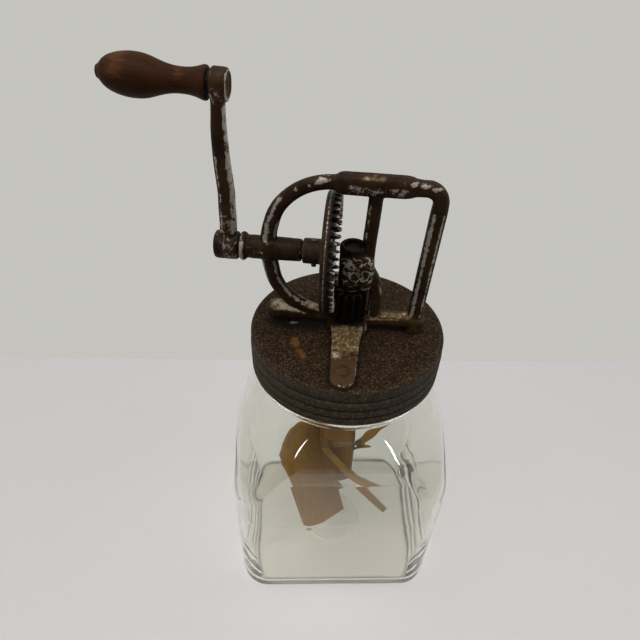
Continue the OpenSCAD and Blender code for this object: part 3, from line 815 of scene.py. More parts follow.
def build_lid():
    n = 288
    z = LID_Z
    top = [(6.15, z - 0.05)] + [(r, z) for r in np.linspace(8, 56, 25)] + [(57.2, z), (58.0, z - 0.10)]
    outer = top + [
             (58.7, z - 0.40), (59.2, z - 0.95), (59.45, z - 1.7), (59.5, z - 2.6), (59.5, z - 6.2), (59.35, z - 6.6), (58.85, z - 7.0),
             (58.8, z - 7.5), (59.1, z - 7.9), (59.7, z - 8.3), (59.95, z - 8.9), (60.0, z - 9.8), (60.0, z - 12.2), (59.85, z - 12.9), (59.3, z - 13.5),
             (59.1, z - 14.0), (59.3, z - 14.5), (59.85, z - 15.1), (60.0, z - 15.8), (60.0, z - 18.2), (59.85, z - 18.9), (59.3, z - 19.5),
             (59.1, z - 20.0), (59.3, z - 20.5), (59.8, z - 21.1), (59.9, z - 21.8), (59.9, z - 24.2), (59.75, z - 25.1), (59.2, z - 25.8),
             (58.5, z - 26.0), (57.8, z - 25.8), (57.35, z - 25.2), (57.2, z - 24.4)]
    inner = [(57.25, z - 20.8), (57.2, z - 14.0), (57.2, z - 8.5), (57.2, z - 3.2), (56.8, z - 2.1), (55.8, z - 1.65), (50, z - 1.6), (30, z - 1.6), (12, z - 1.6), (6.15, z - 1.6)]
    V, F = lathe(outer + inner, n, closed=True)
    o = make("lid_shell", V, F, on_lid=True)
    me = o.data
    P = lid_frame(coords(me) / MM)
    rad = np.hypot(P[:, 0], P[:, 1])
    # small dents in the sheet
    d = wavy(P, 26.0, 3) * 0.22 + wavy(P, 9.0, 5) * 0.07
    keep = sstep(rad, 10, 20) * (1 - sstep(rad, 55, 58.5)) * (P[:, 2] > z - 2)
    side = (rad > 57) * (P[:, 2] < z - 3) * (P[:, 2] > z - 25)
    P[:, 2] += -0.10 * keep + d * keep * 0.6
    f = 1 + side * (wavy(P, 17.0, 9) * 0.10 - 0.12) / np.maximum(rad, 1)
    P[:, 0] *= f
    P[:, 1] *= f
    me.vertices.foreach_set("co", (turned(P) * MM).ravel())
    me.update()
    on_top = P[:, 2] > z - 1.5
    put_attr(me, "top", (P[:, 2] > z - 1.4).astype(float) * (1 - 0.35 * sstep(rad, 55, 59)))

    def smear(a, b, r):
        """Soft streak on the lid's top from a to b."""
        a, b = np.array(a), np.array(b)
        q = P[:, :2] - a
        t = np.clip((q @ (b - a)) / max((b - a) @ (b - a), 1e-9), 0, 1)
        return np.exp(-(np.linalg.norm(q - t[:, None] * (b - a), axis=1) / r) ** 2) * on_top

    rust = 1.10 * smear((-30.3, -19.5), (-28.6, -23.5), 3.4)
    rust = np.maximum(rust, 0.95 * smear((-25.6, -28.5), (-23.4, -33.0), 3.0))
    rust = np.maximum(rust, 0.60 * smear((-28.6, -23.5), (-25.6, -28.5), 4.2))
    rust = np.maximum(rust, 0.62 * smear((33, -45), (36, -42), 4.5))
    rust = np.maximum(rust, 0.55 * smear((22, 38), (27, 33), 5.0))
    rust = np.maximum(rust, 0.50 * smear((-38, 26), (-34, 30), 5.0))
    put_attr(me, "rust", rust)
    # painted shade: darker in the rolled grooves, and painted shadow round and under the frame's feet and along the
    # strap edges
    lid_shade = np.zeros(len(P))
    for g in (7.2, 14.0, 20.0):
        lid_shade = np.maximum(lid_shade, np.exp(-((P[:, 2] - (z - g)) / 0.55) ** 2) * 0.75 * (rad > 58))
    lid_shade = np.maximum(lid_shade, 0.6 * np.exp(-((rad - 13.5) / 3.0) ** 2) * on_top)
    lid_shade = np.maximum(lid_shade, 0.92 * smear((-45, -5.0), (-19, -5.5), 5.0))
    lid_shade = np.maximum(lid_shade, 0.70 * smear((16, -1), (44, -1), 3.6))
    lid_shade = np.maximum(lid_shade, 0.55 * smear((-8.6, -18), (-7.6, -52), 1.6))
    lid_shade = np.maximum(lid_shade, 0.55 * smear((8.8, -18), (7.8, -52), 1.8))
    put_attr(me, "grime_and_shade", lid_shade)
    put_attr(me, "spot", 0.9 * smear((-33.4, -3.3), (-32.6, -3.0), 1.1))
    dress(o, mat_lid)
    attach(o, "lid")
    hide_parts("screw_lid")


build_lid()

# --------------------------------------------------------------------------
# gear frame
# --------------------------------------------------------------------------

def arc(cx, cz, r, a0, a1, n):
    a = np.radians(np.linspace(a0, a1, n))
    return np.stack([cx + r * np.cos(a), np.zeros(n), cz + r * np.sin(a)], 1), np.linspace(a0, a1, n)


def block_mask(L, z):
    """Front of the pinion bearing block."""
    return (sstep(L[:, 2], z + 28, z + 32) * (1 - sstep(L[:, 2], z + 50, z + 54)) * sstep(-L[:, 1], 2.5, 5.0)
            * (1 - sstep(np.abs(L[:, 0] - 3), 8, 11)))


def near(v, c, w):
    return np.exp(-((v - c) / w) ** 2)


def band(v, a, b, s=0.6):
    return sstep(v, a - s, a + s) * (1 - sstep(v, b - s, b + s))


BOW_X, BOW_Z = -5.8, AXIS_Z + 0.4
BOW_A = [84, 92, 100, 109, 120, 132, 143, 152, 161, 180, 196, 210, 225, 240, 255, 268]
BOW_R = [41.4, 41.3, 41.9, 42.8, 43.6, 44.0, 44.0, 43.5, 42.7, 42.0, 42.4, 44.1, 45.0, 44.5, 43.4, 42.9]
HOLD_Z, HOLD_X = [228, 261, 307], [39.8, 40.9, 42.6]
POST = [(9.5, 93), (9.3, 82), (8.9, 70), (8.5, 62), (8.3, 52), (8.4, 46), (9.2, 40.5), (12.2, 35), (14.4, 30.5), (15.0, 25), (15.0, 16), (15.3, 9), (15.8, 3.5)]


def build_frame():
    z = LID_Z
    parts = []
    # half-round bow: stouter at the sleeve than at its ends
    S = spline(np.column_stack([BOW_A, BOW_R]), 8)
    a, r = S[:, 0], S[:, 1]
    P = np.column_stack([BOW_X + r * np.cos(np.radians(a)), np.zeros(len(a)), BOW_Z + r * np.sin(np.radians(a))])
    k = np.exp(-((a - 182) / 42.0) ** 2)
    parts.append(sweep(np.column_stack([P, 3.65 + 0.95 * k, 3.7 + 0.35 * k, np.full(len(a), 2.6)])))
    # top bar with a stouter middle, round corner and hand-hold bar, in one run
    zb = z + 91.55
    top = [(-13, 3.7, 3.8), (-11.6, 3.9, 4.0), (-10, 5.2, 4.7), (-7.5, 5.65, 5.0), (5, 5.75, 5.0), (15, 5.7, 5.0), (23.5, 5.65, 5.0), (26.6, 5.3, 4.8), (29.2, 4.3, 4.3), (32, 4.1, 4.15), (34.6, 4.1, 4.15)]
    rows = [(x, 0, zb, h, d, 2.8) for x, h, d in top]
    P, _ = arc(34.6, zb - 8, 8, 90, 0, 12)
    rows += [(p[0], 0, p[2], 4.2, 4.2, 2.6) for p in P[1:]]
    for t in np.linspace(0.06, 1, 18):
        zz = zb - 8 - (zb - 8 - z - 4) * t
        rows.append((np.interp(zz, HOLD_Z, HOLD_X), 0, zz, 4.42, 4.2, 2.6))
    parts.append(sweep(np.array(rows), 32))
    # middle post, which steps out round the pinion
    S = spline([(x, 0, z + h) for x, h in POST], 6)
    w = np.interp(S[:, 2], [z, z + 10, z + 28, z + 36, z + 48, z + 95], [4.2, 3.8, 3.7, 4.1, 3.85, 3.75])
    parts.append(sweep(np.column_stack([S, w, np.full(len(S), 4.2), np.full(len(S), 3.2)])))
    # pinion bearing with its oil cup, and the block that joins it to the post
    parts.append(lathe([(0, z + 28.4), (6.6, z + 28.4), (7.4, z + 29.2), (7.5, z + 50), (7.7, z + 53.4), (7.7, z + 55.6), (7.1, z + 56.5), (5.9, z + 56.5), (5.3, z + 55.9), (5.2, z + 53.6), (0, z + 53.4)], 48))
    parts.append(blob((3.4, -1.2, z + 40.2), (9.2, 6.9, 11.9), 4.2))
    # base below the pinion
    parts.append(lathe([(0, z), (13.2, z), (13.4, z + 0.6), (12.4, z + 4.6), (11.0, z + 6.2), (0, z + 6.2)], 48))
    # left arm of the base with its fat round lug, on a small foot
    S = spline([(-6, 0, z + 4.6, 3.6, 4.6, 2.8), (-16, 0, z + 5.4, 3.5, 4.2, 2.8), (-26, 0, z + 6.1, 3.9, 4.4, 2.7), (-33.5, 0, z + 7.0, 5.1, 5.2, 2.5), (-40, 0, z + 7.5, 5.95, 5.8, 2.4),
                (-45, 0, z + 7.5, 5.9, 5.7, 2.3), (-48.4, 0, z + 7.4, 4.6, 4.5, 2.2), (-49.8, 0, z + 7.3, 2.3, 2.3, 2.0)], 6)
    parts.append(sweep(S))
    parts.append(lathe([(0, z), (3.2, z), (3.4, z + 0.5), (3.4, z + 6), (0, z + 6)], 32, centre=(-33.5, 0, 0)))
    # right arm of the base and its rounded foot
    S = spline([(9, 0, z + 5.6, 4.6, 5.0, 3.2), (18, 0, z + 6.4, 4.6, 4.6, 3.2), (30, 0, z + 6.8, 4.6, 4.4, 3.2), (39.5, 0, z + 7.0, 5.1, 5.2, 2.8), (44, 0, z + 6.8, 4.5, 4.6, 2.4), (46, 0, z + 6.5, 2.4, 2.4, 2.0)], 6)
    parts.append(sweep(S))
    parts.append(lathe([(0, z), (5.5, z), (5.6, z + 0.6), (5.3, z + 7), (0, z + 7)], 32, centre=(39.8, 0, 0)))
    # strap feet
    for s in (-1, 1):
        S = spline([(0, s * 1, z + 2.7, 9.9, 2.7, 5), (0, s * 9, z + 2.6, 9.6, 2.6, 5), (0, s * 15, z + 2.0, 8.9, 2.0, 5), (0, s * 22, z + 1.62, 8.3, 1.62, 5), (0, s * 28, z + 1.6, 8.0, 1.6, 5), (0, s * 38, z + 1.6, 7.5, 1.6, 5), (0, s * 50.0, z + 1.6, 7.0, 1.6, 5)], 8)
        parts.append(sweep(S, 36, normal=(0, 0, 1)))
        parts.append(lathe([(0, z), (7.0, z), (7.0, z + 2.6), (6.4, z + 3.2), (0, z + 3.2)], 48, centre=(0, s * 50.0, 0)))
    # bearing sleeve of the crank with its end bead
    sl = [(0, -63.6), (6.6, -63.6), (7.7, -63.2), (8.25, -62.2), (8.2, -61.2), (7.4, -60.3), (6.6, -59.6), (6.45, -58.6), (6.7, -57.2), (6.75, -54), (6.7, -48), (6.6, -40), (6.45, -33), (6.35, -29.4), (6.0, -28.7), (0, -28.7)]
    parts.append(lathe(sl, 48, "x", (0, 0, AXIS_Z)))
    parts.append(blob((-47.4, 0, AXIS_Z), (6.6, 6.9, 7.6), 2.4))
    V, F = joined(parts)
    o = make("frame_casting", V, F, on_lid=True)
    fuse(o, 0.5, 9)
    # rough as-cast skin; coarser and lumpier on the bearing block
    me = o.data
    L = lid_frame(coords(me) / MM)
    displace(o, 0.07, 2.2, 11)
    displace(o, 0.50, 2.6, 12, block_mask(L, z))
    cut(o, [lathe([(4.08, -90), (4.08, -10)], 48, "x", (0, 0, AXIS_Z)),
            lathe([(4.08, z - 5), (4.08, z + 62)], 48),
            lathe([(10.6, z + 8.7), (10.6, z + 27.4)], 64),
            lathe([(7.8, z + 6.22), (7.8, z + 9.0)], 48),
            lathe([(2.58, z - 3), (2.58, z + 12)], 32, centre=(0, -45, 0)),
            lathe([(2.58, z - 3), (2.58, z + 12)], 32, centre=(0, 45, 0))])
    me = o.data
    L = lid_frame(coords(me) / MM)
    N = lid_frame(normals(me))
    X, Y, Z = L[:, 0], L[:, 1], L[:, 2]
    up = np.clip(N[:, 2], 0, 1)
    flank = np.abs(N[:, 1])
    front = sstep(flank, 0.05, 0.45)
    wear = 0.32 * sstep(convexity(me, 6), 0.16, 0.42)
    rub = np.zeros(len(L))

    def add(v):
        np.maximum(wear, v, out=wear)

    # bow: worn bands along its rims
    rad = np.hypot(X - BOW_X, Z - BOW_Z)
    ang = np.degrees(np.arctan2(Z - BOW_Z, X - BOW_X)) % 360
    rho = rad - np.interp(ang, BOW_A, BOW_R)
    bow = (np.abs(rho) < 6.5) * (np.abs(Y) < 6) * (X < -6)
    facing = sstep(flank, -0.1, 0.4)
    add(0.86 * bow * band(ang, 100, 111, 3.0) * near(rho, 1.9, 1.6) * np.maximum(facing, up))
    add(0.85 * bow * near(ang, 116, 1.1) * near(rho, 0.8, 1.0) * front)
    add(0.75 * bow * near(ang, 125, 2.2) * near(rho, 1.6, 1.2) * front)
    add(0.80 * bow * band(ang, 135, 173, 4.0) * near(rho, np.interp(ang, [134, 150, 172], [2.5, 1.7, 1.4]), np.interp(ang, [134, 150, 172], [0.9, 1.6, 2.0])) * facing)
    add(0.78 * bow * band(ang, 152, 171, 3.0) * near(rho, -3.6, 1.0) * facing)
    add(0.80 * bow * band(ang, 188, 246, 3.0) * near(rho, -3.1, 0.9) * facing)
    add(0.68 * bow * band(ang, 187, 212, 3.0) * near(rho, 3.3, 0.7) * facing)
    # hand-hold: grey along its front-left edge, a thin light line to the right
    hx = np.interp(Z, HOLD_Z, HOLD_X)
    u = (X - hx) / 4.42
    hold = (np.abs(u) < 1.3) * band(Z, 234, 304, 4.0)
    add(0.84 * hold * near(u, -0.60, 0.27) * facing)
    add(0.72 * hold * near(u, 0.55, 0.16) * front)
    # middle post
    S = np.array(POST)[::-1]
    px = np.interp(Z, z + S[:, 1], S[:, 0])
    u = (X - px) / 3.9
    post = (np.abs(u) < 1.3) * (X < 26)
    add(0.66 * post * band(Z, 284, 306, 3.0) * near(u, -0.62, 0.22) * front)
    add(0.72 * post * band(Z, 234, 250, 2.0) * near(u, -0.85, 0.28) * facing)
    rub = np.maximum(rub, 0.92 * post * band(Z, 249, 259, 2.0) * near(u, 0.75, 0.28) * facing)
    # top bar: scattered dabs on its front, a worn line on its top, patches by the corner
    bar = np.abs(Z - zb) < 8
    add(0.44 * bar * band(X, -7, 24, 2.0) * band(Z, 311.0, 316.8, 1.2) * facing)
    rub = np.maximum(rub, 0.80 * bar * band(X, 0, 14, 3.0) * near(Z, zb + 4.6, 1.3) * sstep(flank, -0.3, 0.2))
    for x, zz, rx, rz, amt in ((27.5, 318.5, 1.9, 1.4, 1.0), (32.9, 318.2, 3.2, 1.1, 0.95), (39.9, 317.0, 3.2, 1.2, 0.95)):
        add(amt * bar * np.exp(-(((X - x) / rx) ** 2 + ((Z - zz) / rz) ** 2)) * facing)
    # base: whitish top on the left arm and lug, tan along the top of the right arm
    low = (Z < z + 15) * (Y < 4)
    skyward = sstep(N[:, 2], 0.0, 0.55)
    rub = np.maximum(rub, low * skyward * np.interp(X, [-49.5, -47.5, -42, -33, -24, -14, -11], [0.0, 0.60, 1.06, 1.02, 0.90, 0.84, 0.0]) * sstep(-Y, -4.0, -0.5))
    rub = np.maximum(rub, 0.80 * low * band(X, 18, 38, 3.0) * sstep(N[:, 2], 0.25, 0.7) * sstep(-Y, -2.5, 0.5))
    rub = np.maximum(rub, 0.92 * low * band(X, 10, 31, 2.0) * near(N[:, 2], 0.25, 0.22) * front)
    # crank sleeve: bright front of its end bead
    tube = np.hypot(Y, Z - AXIS_Z) < 9.5
    add(0.68 * tube * band(X, -63.2, -60.6, 0.5) * front)
    add(0.42 * tube * band(X, -58, -49, 2.0) * near(Z - AXIS_Z, 1.0, 2.4) * front)
    # strap: rubbed upper part, chipped band, light corners and right edge
    Y = -np.abs(Y)
    flat = (Z < z + 7) * (np.abs(X) < 11) * (Y < -6)
    level = sstep(N[:, 2], 0.2, 0.6)
    rub = np.maximum(rub, 0.77 * flat * band(Y, -30, -9, 2.5) * level)
    rub = np.maximum(rub, 0.86 * flat * band(Y, -37, -28, 2.5) * level * (0.55 + 0.45 * sstep(-X, -2, 5)))
    add(0.72 * flat * near(np.abs(X), 9.0, 1.4) * band(Y, -17, -8, 2.0))
    add(0.58 * flat * near(X - np.interp(Y, [-50, -28, -9], [6.9, 7.9, 9.5]), 0, 0.6) * band(Y, -50, -16, 3.0))
    tone = flat * (1 - sstep(Y, -38, -32)) * 0.75 + 0.65 * low * sstep(X, 14, 22) * sstep(N[:, 2], -0.3, 0.3)
    # bearing block with light lumps, black grease round the pinion and in the oil cup
    blk = block_mask(L, z)
    lump = wavy(coords(me) / MM, 3.4, 12) + 0.35 * wavy(coords(me) / MM, 1.5, 15)
    rub = np.maximum(rub, blk * 0.36)
    add(blk * (0.18 + 0.90 * near(lump, 0.08, 0.13) * (0.50 + 0.55 * sstep(Z, z + 34, z + 41))))
    add(0.80 * front * near(Z - 0.35 * (X - 3), z + 30.0, 0.8) * band(X, -5, 12, 1.0))
    rr = np.hypot(X, Y)
    grease_and_shade = 0.95 * band(Z, z + 53.0, z + 60, 0.8) * (rr < 8.2)
    grease_and_shade = np.maximum(grease_and_shade, 0.9 * (rr < 12.2) * band(Z, z + 3.5, z + 8, 1.0) * sstep(N[:, 2], 0.2, 0.6) * sstep(Y, -10.5, -8.0))
    grease_and_shade = np.maximum(grease_and_shade, 0.9 * (rr < 13) * (Z > z + 20) * (Z < z + 31) * sstep(-N[:, 2], 0.2, 0.6))
    grease_and_shade = np.maximum(grease_and_shade, 0.8 * band(Z, z + 8, z + 28, 1.0) * (X > 8) * (X < 16) * sstep(-N[:, 0], 0.5, 0.85) * (np.abs(Y) < 3.4))
    # painted shade: faces turned sideways or down are darkened to near-black, for the shade along the bars' edges
    grease_and_shade = np.maximum(grease_and_shade, 0.84 * (1 - sstep(flank, 0.10, 0.62)) * (1 - sstep(N[:, 2], 0.10, 0.50)))
    put_attr(me, "wear", np.clip(wear, 0, 1))
    put_attr(me, "rub", rub)
    put_attr(me, "tone", tone.astype(float))
    put_attr(me, "rust", np.zeros(len(L)))
    put_attr(me, "grease_and_shade", grease_and_shade)
    dress(o, mat_frame)
    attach(o, "lid")
    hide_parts("gear_frame")


build_frame()

# --------------------------------------------------------------------------
# crank arm
# --------------------------------------------------------------------------

ARM = np.array([(2, -70.6, 4.7), (13, -69.7, 4.65), (24, -69.5, 4.5), (31, -69.2, 4.45), (38, -69.5, 4.35), (47, -70.0, 4.22), (56, -70.2, 4.05), (64, -70.2, 3.85), (74, -69.6, 3.42), (82, -69.3, 3.3)])


def build_arm():
    z = AXIS_Z
    parts = [lathe([(0, -78), (6.3, -78), (7.5, -77.5), (8.0, -76.3), (8.05, -71), (8.0, -66), (7.6, -64.8), (6.6, -64.25), (0, -64.25)], 56, "x", (0, 0, z))]
    S = spline([(x, 0, z + h, w, 4.6 - 0.6 * h / 82, 2.6) for h, x, w in ARM], 8)
    parts.append(sweep(S))
    kz = KNOB_Z
    V, F = lathe([(0, -71.6), (6.4, -71.6), (7.3, -71.2), (7.65, -70.4), (7.65, -65.6), (7.4, -64.4), (6.7, -63.7), (5.9, -63.6), (5.2, -63.9), (4.8, -64.4), (0, -64.5)], 56, "x", (0, 0, kz))
    parts.append((leaned(V), F))
    V, F = joined(parts)
    o = make("arm_casting", V, F, on_lid=True)
    fuse(o, 0.4, 6)
    displace(o, 0.06, 2.0, 21)
    V, F = lathe([(2.53, -90), (2.53, -50)], 40, "x", (0, 0, kz))
    cut(o, [lathe([(4.03, -90), (4.03, -50)], 48, "x", (0, 0, z)), (leaned(V), F)])
    me = o.data
    L = lid_frame(coords(me) / MM)
    N = lid_frame(normals(me))
    wear = 0.30 * sstep(convexity(me, 6), 0.17, 0.42)

    def add(v):
        np.maximum(wear, v, out=wear)

    h = L[:, 2] - z
    u = (L[:, 0] - np.interp(h, ARM[:, 0], ARM[:, 1])) / np.interp(h, ARM[:, 0], ARM[:, 2])
    bar = band(h, 8.5, 76.5, 1.2) * (np.abs(u) < 1.4)
    # a worn grey band along the right edge, a broken line along the left, chips low down
    add(0.68 * bar * sstep(u, np.interp(h, [8, 76], [0.36, 0.54]), np.interp(h, [8, 76], [0.72, 0.88])) * sstep(np.abs(N[:, 1]), -0.35, 0.1))
    add(0.62 * bar * band(h, 8, 56, 4.0) * near(u, -0.55, 0.18))
    add(0.42 * bar * (1 - sstep(h, 14, 30)))
    # hub and boss
    hub = (np.hypot(L[:, 1], h) < 10) * (L[:, 0] < -60)
    add(0.68 * hub * near(L[:, 0], -71.5, 0.7))
    add(0.26 * hub * (L[:, 1] < 1))
    B = unleaned(L)
    br = np.hypot(B[:, 1], B[:, 2] - kz)
    boss = (br < 9) * (h > 74)
    add(0.86 * boss * near(br, 6.4, 0.7) * sstep(B[:, 0], -65.3, -64.4))
    add(0.16 * boss * (L[:, 1] < 0))
    rust = 0.95 * boss * (1 - sstep(br, 4.7, 5.3)) * sstep(B[:, 0], -66.0, -65.2)
    put_attr(me, "wear", np.clip(wear, 0, 1))
    put_attr(me, "rub", np.zeros(len(L)))
    put_attr(me, "tone", 0.12 * (boss > 0))
    put_attr(me, "rust", rust)
    # painted shade: faces turned away from the front, the top and +x are darkened to near-black
    grime_and_shade = 0.80 * (1 - sstep(np.abs(N[:, 1]), 0.05, 0.6)) * (1 - sstep(N[:, 2], 0.05, 0.45)) * (1 - sstep(N[:, 0], 0.1, 0.5))
    put_attr(me, "grease_and_shade", np.maximum(grime_and_shade, 0.35 * hub))
    dress(o, mat_arm)
    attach(o, "crank")
    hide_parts("crank_arm")


build_arm()

# --------------------------------------------------------------------------
# gear and pinion
# --------------------------------------------------------------------------

def build_gear():
    z = AXIS_Z
    parts = []
    # plate with a rolled rim, hub behind it
    prof = [(0, -28.2), (6.2, -28.2), (7.0, -27.7), (7.2, -26.8), (7.2, -18.6), (8.0, -17.2), (9.6, -16.2), (12, -15.6), (28.5, -15.6), (30.4, -15.9), (31.4, -16.2),
            (33.0, -16.2), (33.8, -15.7), (34.1, -14.8), (34.1, -13.0), (33.8, -12.3), (33.2, -12.0), (28.2, -12.0), (27.2, -12.6), (26.6, -13.2), (10, -13.2), (8.4, -12.4), (0, -12.0)]
    parts.append(lathe(prof, 168, "x", (0, 0, z)))
    # rounded crown teeth
    n = 42
    rows = []
    for i in range(n):
        a = 2 * math.pi * i / n
        sect = []
        for (t, x) in ((-1.28, -12.4), (-1.22, -11.4), (-1.05, -10.2), (-0.82, -9.1), (-0.52, -8.35), (-0.18, -8.05), (0.18, -8.05), (0.52, -8.35), (0.82, -9.1), (1.05, -10.2), (1.22, -11.4), (1.28, -12.4)):
            sect.append((t, x))
        V, F = [], []
        stations = ((-33.75, 0.62), (-33.6, 0.84), (-33.2, 1.0), (-29.7, 1.0), (-29.3, 0.86), (-29.1, 0.62))
        for r, k in stations:
            for t, x in sect:
                xx = -12.4 + (x + 12.4) * k
                y, zz = t * (0.9 + 0.1 * k), r
                V.append((xx, y * math.cos(a) - zz * math.sin(a), z + y * math.sin(a) + zz * math.cos(a)))
        m = len(sect)
        for q in range(len(stations) - 1):
            for k in range(m):
                k2 = (k + 1) % m
                F.append((q * m + k, q * m + k2, (q + 1) * m + k2, (q + 1) * m + k))
        F.append(tuple(range(m - 1, -1, -1)))
        F.append(tuple((len(stations) - 1) * m + k for k in range(m)))
        parts.append((np.array(V), F))
    V, F = joined(parts)
    o = make("gear_casting", V, F, on_lid=True)
    fuse(o, 0.3, 3)
    cut(o, [lathe([(4.03, -40), (4.03, 0)], 48, "x", (0, 0, z))])
    me = o.data
    L = lid_frame(coords(me) / MM)
    rad = np.hypot(L[:, 1], L[:, 2] - z)
    wear = 0.55 * sstep(convexity(me, 4), 0.35, 0.75)
    tips = sstep(L[:, 0], -10.2, -8.4) * (rad > 28.5)
    rim = np.exp(-((rad - 34.1) / 0.6) ** 2) * np.exp(-((L[:, 0] + 13.9) / 0.7) ** 2)
    hub = (rad < 9) * (L[:, 0] < -17) * 0.36
    wear = wear * (0.5 + 0.5 * (rad > 28)) + 0.52 * tips + 0.62 * rim + hub
    # tooth roots: grease, and painted shade between the teeth
    gaps = (1 - sstep(L[:, 0], -10.9, -9.9)) * sstep(L[:, 0], -12.9, -12.2) * (rad > 27.5)
    put_attr(me, "wear", np.clip(wear, 0, 1))
    put_attr(me, "grease_and_shade", 0.9 * gaps)
    dress(o, mat_gear)
    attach(o, "crank")
    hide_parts("drive_gear")


def build_pinion():
    z0, z1 = LID_Z + 9.0, LID_Z + 26.6
    n, seg = 12, []
    for i in range(n):
        a = 2 * math.pi * (i + 0.5) / n
        for (r, t) in ((6.75, -1.72), (6.9, -1.30), (7.6, -1.16), (8.6, -0.98), (9.5, -0.76), (10.05, -0.52), (10.28, -0.2), (10.28, 0.2), (10.05, 0.52), (9.5, 0.76), (8.6, 0.98), (7.6, 1.16), (6.9, 1.30), (6.75, 1.72)):
            seg.append((r * math.cos(a) - t * math.sin(a), r * math.sin(a) + t * math.cos(a)))
    seg = np.array(seg)
    m = len(seg)
    V, F = [], []
    levels = ((z0, 0.955), (z0 + 0.5, 0.985), (z0 + 1.0, 1.0), (z1 - 1.0, 1.0), (z1 - 0.5, 0.985), (z1, 0.955))
    zs = np.concatenate([[z0, z0 + 0.4, z0 + 0.9], np.linspace(z0 + 2, z1 - 2, 10), [z1 - 0.9, z1 - 0.4, z1]])
    for zz in zs:
        k = np.interp(zz, [q[0] for q in levels], [q[1] for q in levels])
        V.append(np.column_stack([seg * k, np.full(m, zz)]))
    for q in range(len(zs) - 1):
        for k in range(m):
            k2 = (k + 1) % m
            F.append((q * m + k, q * m + k2, (q + 1) * m + k2, (q + 1) * m + k))
    F.append(tuple(range(m - 1, -1, -1)))
    F.append(tuple((len(zs) - 1) * m + k for k in range(m)))
    o = make("pinion_steel", np.vstack(V), F, on_lid=True)
    cut(o, [lathe([(4.03, z0 - 5), (4.03, z1 + 5)], 48)])
    me = o.data
    L = lid_frame(coords(me) / MM)
    put_attr(me, "wear", 0.55 * sstep(np.hypot(L[:, 0], L[:, 1]), 9.6, 10.25))
    dress(o, mat_pinion)
    me.polygons.foreach_set("use_smooth", [True] * len(me.polygons))
    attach(o, "dasher")
    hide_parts("pinion")


build_gear()
build_pinion()

# --------------------------------------------------------------------------
# wooden handle
# --------------------------------------------------------------------------

def build_handle():
    x0 = -125.4
    ctrl = [(3.3, 0.9), (4.4, 2.0), (6.15, 3.8), (7.55, 6.0), (8.45, 8.3), (9.07, 10.4), (9.54, 12.6), (9.83, 14.9), (9.95, 17.1), (9.9, 19.4), (9.72, 21.6), (9.31, 23.8), (8.67, 26.1), (7.94, 28.3),
            (7.22, 30.6), (6.64, 32.8), (6.19, 35.0), (5.91, 37.3), (5.82, 39.5), (5.84, 41.7), (6.03, 44.0), (6.41, 46.2), (6.98, 48.2), (7.55, 49.9), (7.72, 50.8), (7.62, 51.6), (7.25, 52.1)]
    S = spline(ctrl, 4)
    prof = [(2.56, 2.35), (3.2, 2.35)] + [(r, h) for r, h in S] + [(6.4, 52.2), (2.56, 52.2)]
    V, F = lathe(prof, 96, "x", (x0, 0, KNOB_Z), closed=True)
    P = V.copy()
    o = make("handle_wood", leaned(V), F, on_lid=True)
    s = P[:, 0] - x0
    put_attr(o.data, "grain", np.column_stack([s, P[:, 1] + 3.0, P[:, 2] - KNOB_Z + 40.0]) * MM)
    # painted highlight: lighter, warmer colour on the upper side of the bulge and the neck; dark at both ends and
    # underneath
    ct = (P[:, 2] - KNOB_Z) / np.maximum(np.hypot(P[:, 1], P[:, 2] - KNOB_Z), 1e-6)
    painted_highlight = 0.70 * near(s, 12.5, 7.0) * sstep(ct, -0.35, 0.35) + 0.48 * near(s, 39.5, 4.6) * sstep(ct, -0.5, 0.4)
    painted_highlight = painted_highlight - 0.45 * (1 - sstep(s, 2.0, 6.0)) - 0.5 * sstep(s, 47.5, 49.5) - 0.25 * sstep(-ct, 0.1, 0.8)
    put_attr(o.data, "painted_highlight", painted_highlight)
    dress(o, mat_handle)
    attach(o, "handle")
    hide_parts("crank_handle")


build_handle()

# --------------------------------------------------------------------------
# dasher
# --------------------------------------------------------------------------

def build_blades():
    pitch = math.radians(62)
    bl, br, bt = 82.0, 42.0, 4.5
    out = [(6.2, -bl / 2), (br - 13, -bl / 2), (br - 7.5, -bl / 2 + 4.0), (br - 3.2, -bl / 2 + 8.6), (br, -bl / 2 + 14), (br, bl / 2 - 2.6), (br - 0.8, bl / 2 - 0.8), (br - 2.6, bl / 2), (6.2, bl / 2)]
    for k in range(4):
        bm = bmesh.new()
        lo = [bm.verts.new((x, y, -bt / 2)) for x, y in out]
        hi = [bm.verts.new((x, y, bt / 2)) for x, y in out]
        bm.faces.new(lo[::-1])
        bm.faces.new(hi)
        for i in range(len(out)):
            j = (i + 1) % len(out)
            bm.faces.new((lo[i], lo[j], hi[j], hi[i]))
        bmesh.ops.recalc_face_normals(bm, faces=bm.faces)
        rim = [e for e in bm.edges if abs(e.verts[0].co.z - e.verts[1].co.z) < 1e-6]
        bmesh.ops.bevel(bm, geom=rim, offset=0.7, segments=3, profile=0.6, affect="EDGES")
        bmesh.ops.triangulate(bm, faces=[f for f in bm.faces if len(f.verts) > 4])
        V = np.array([v.co[:] for v in bm.verts])
        bm.verts.index_update()
        F = [tuple(v.index for v in f.verts) for f in bm.faces]
        bm.free()
        grain = np.column_stack([V[:, 1] + 300.0 * k, V[:, 0] + 17.0 * k, V[:, 2] + 9.0 * k])
        c, s = math.cos(-pitch), math.sin(-pitch)
        W = np.column_stack([V[:, 0], V[:, 1] * c - V[:, 2] * s, V[:, 1] * s + V[:, 2] * c + 88.5])
        a = math.radians(215.5 + 7 + 90 * k)
        W = np.column_stack([W[:, 0] * math.cos(a) - W[:, 1] * math.sin(a), W[:, 0] * math.sin(a) + W[:, 1] * math.cos(a), W[:, 2]])
        o = make("blade_board_%d" % (k + 1), W, F, on_lid=True, smooth=False)
        put_attr(o.data, "grain", grain * MM)
        dress(o, mat_blade)
        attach(o, "dasher")
        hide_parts("dasher_blade_%d" % (k + 1))


build_blades()

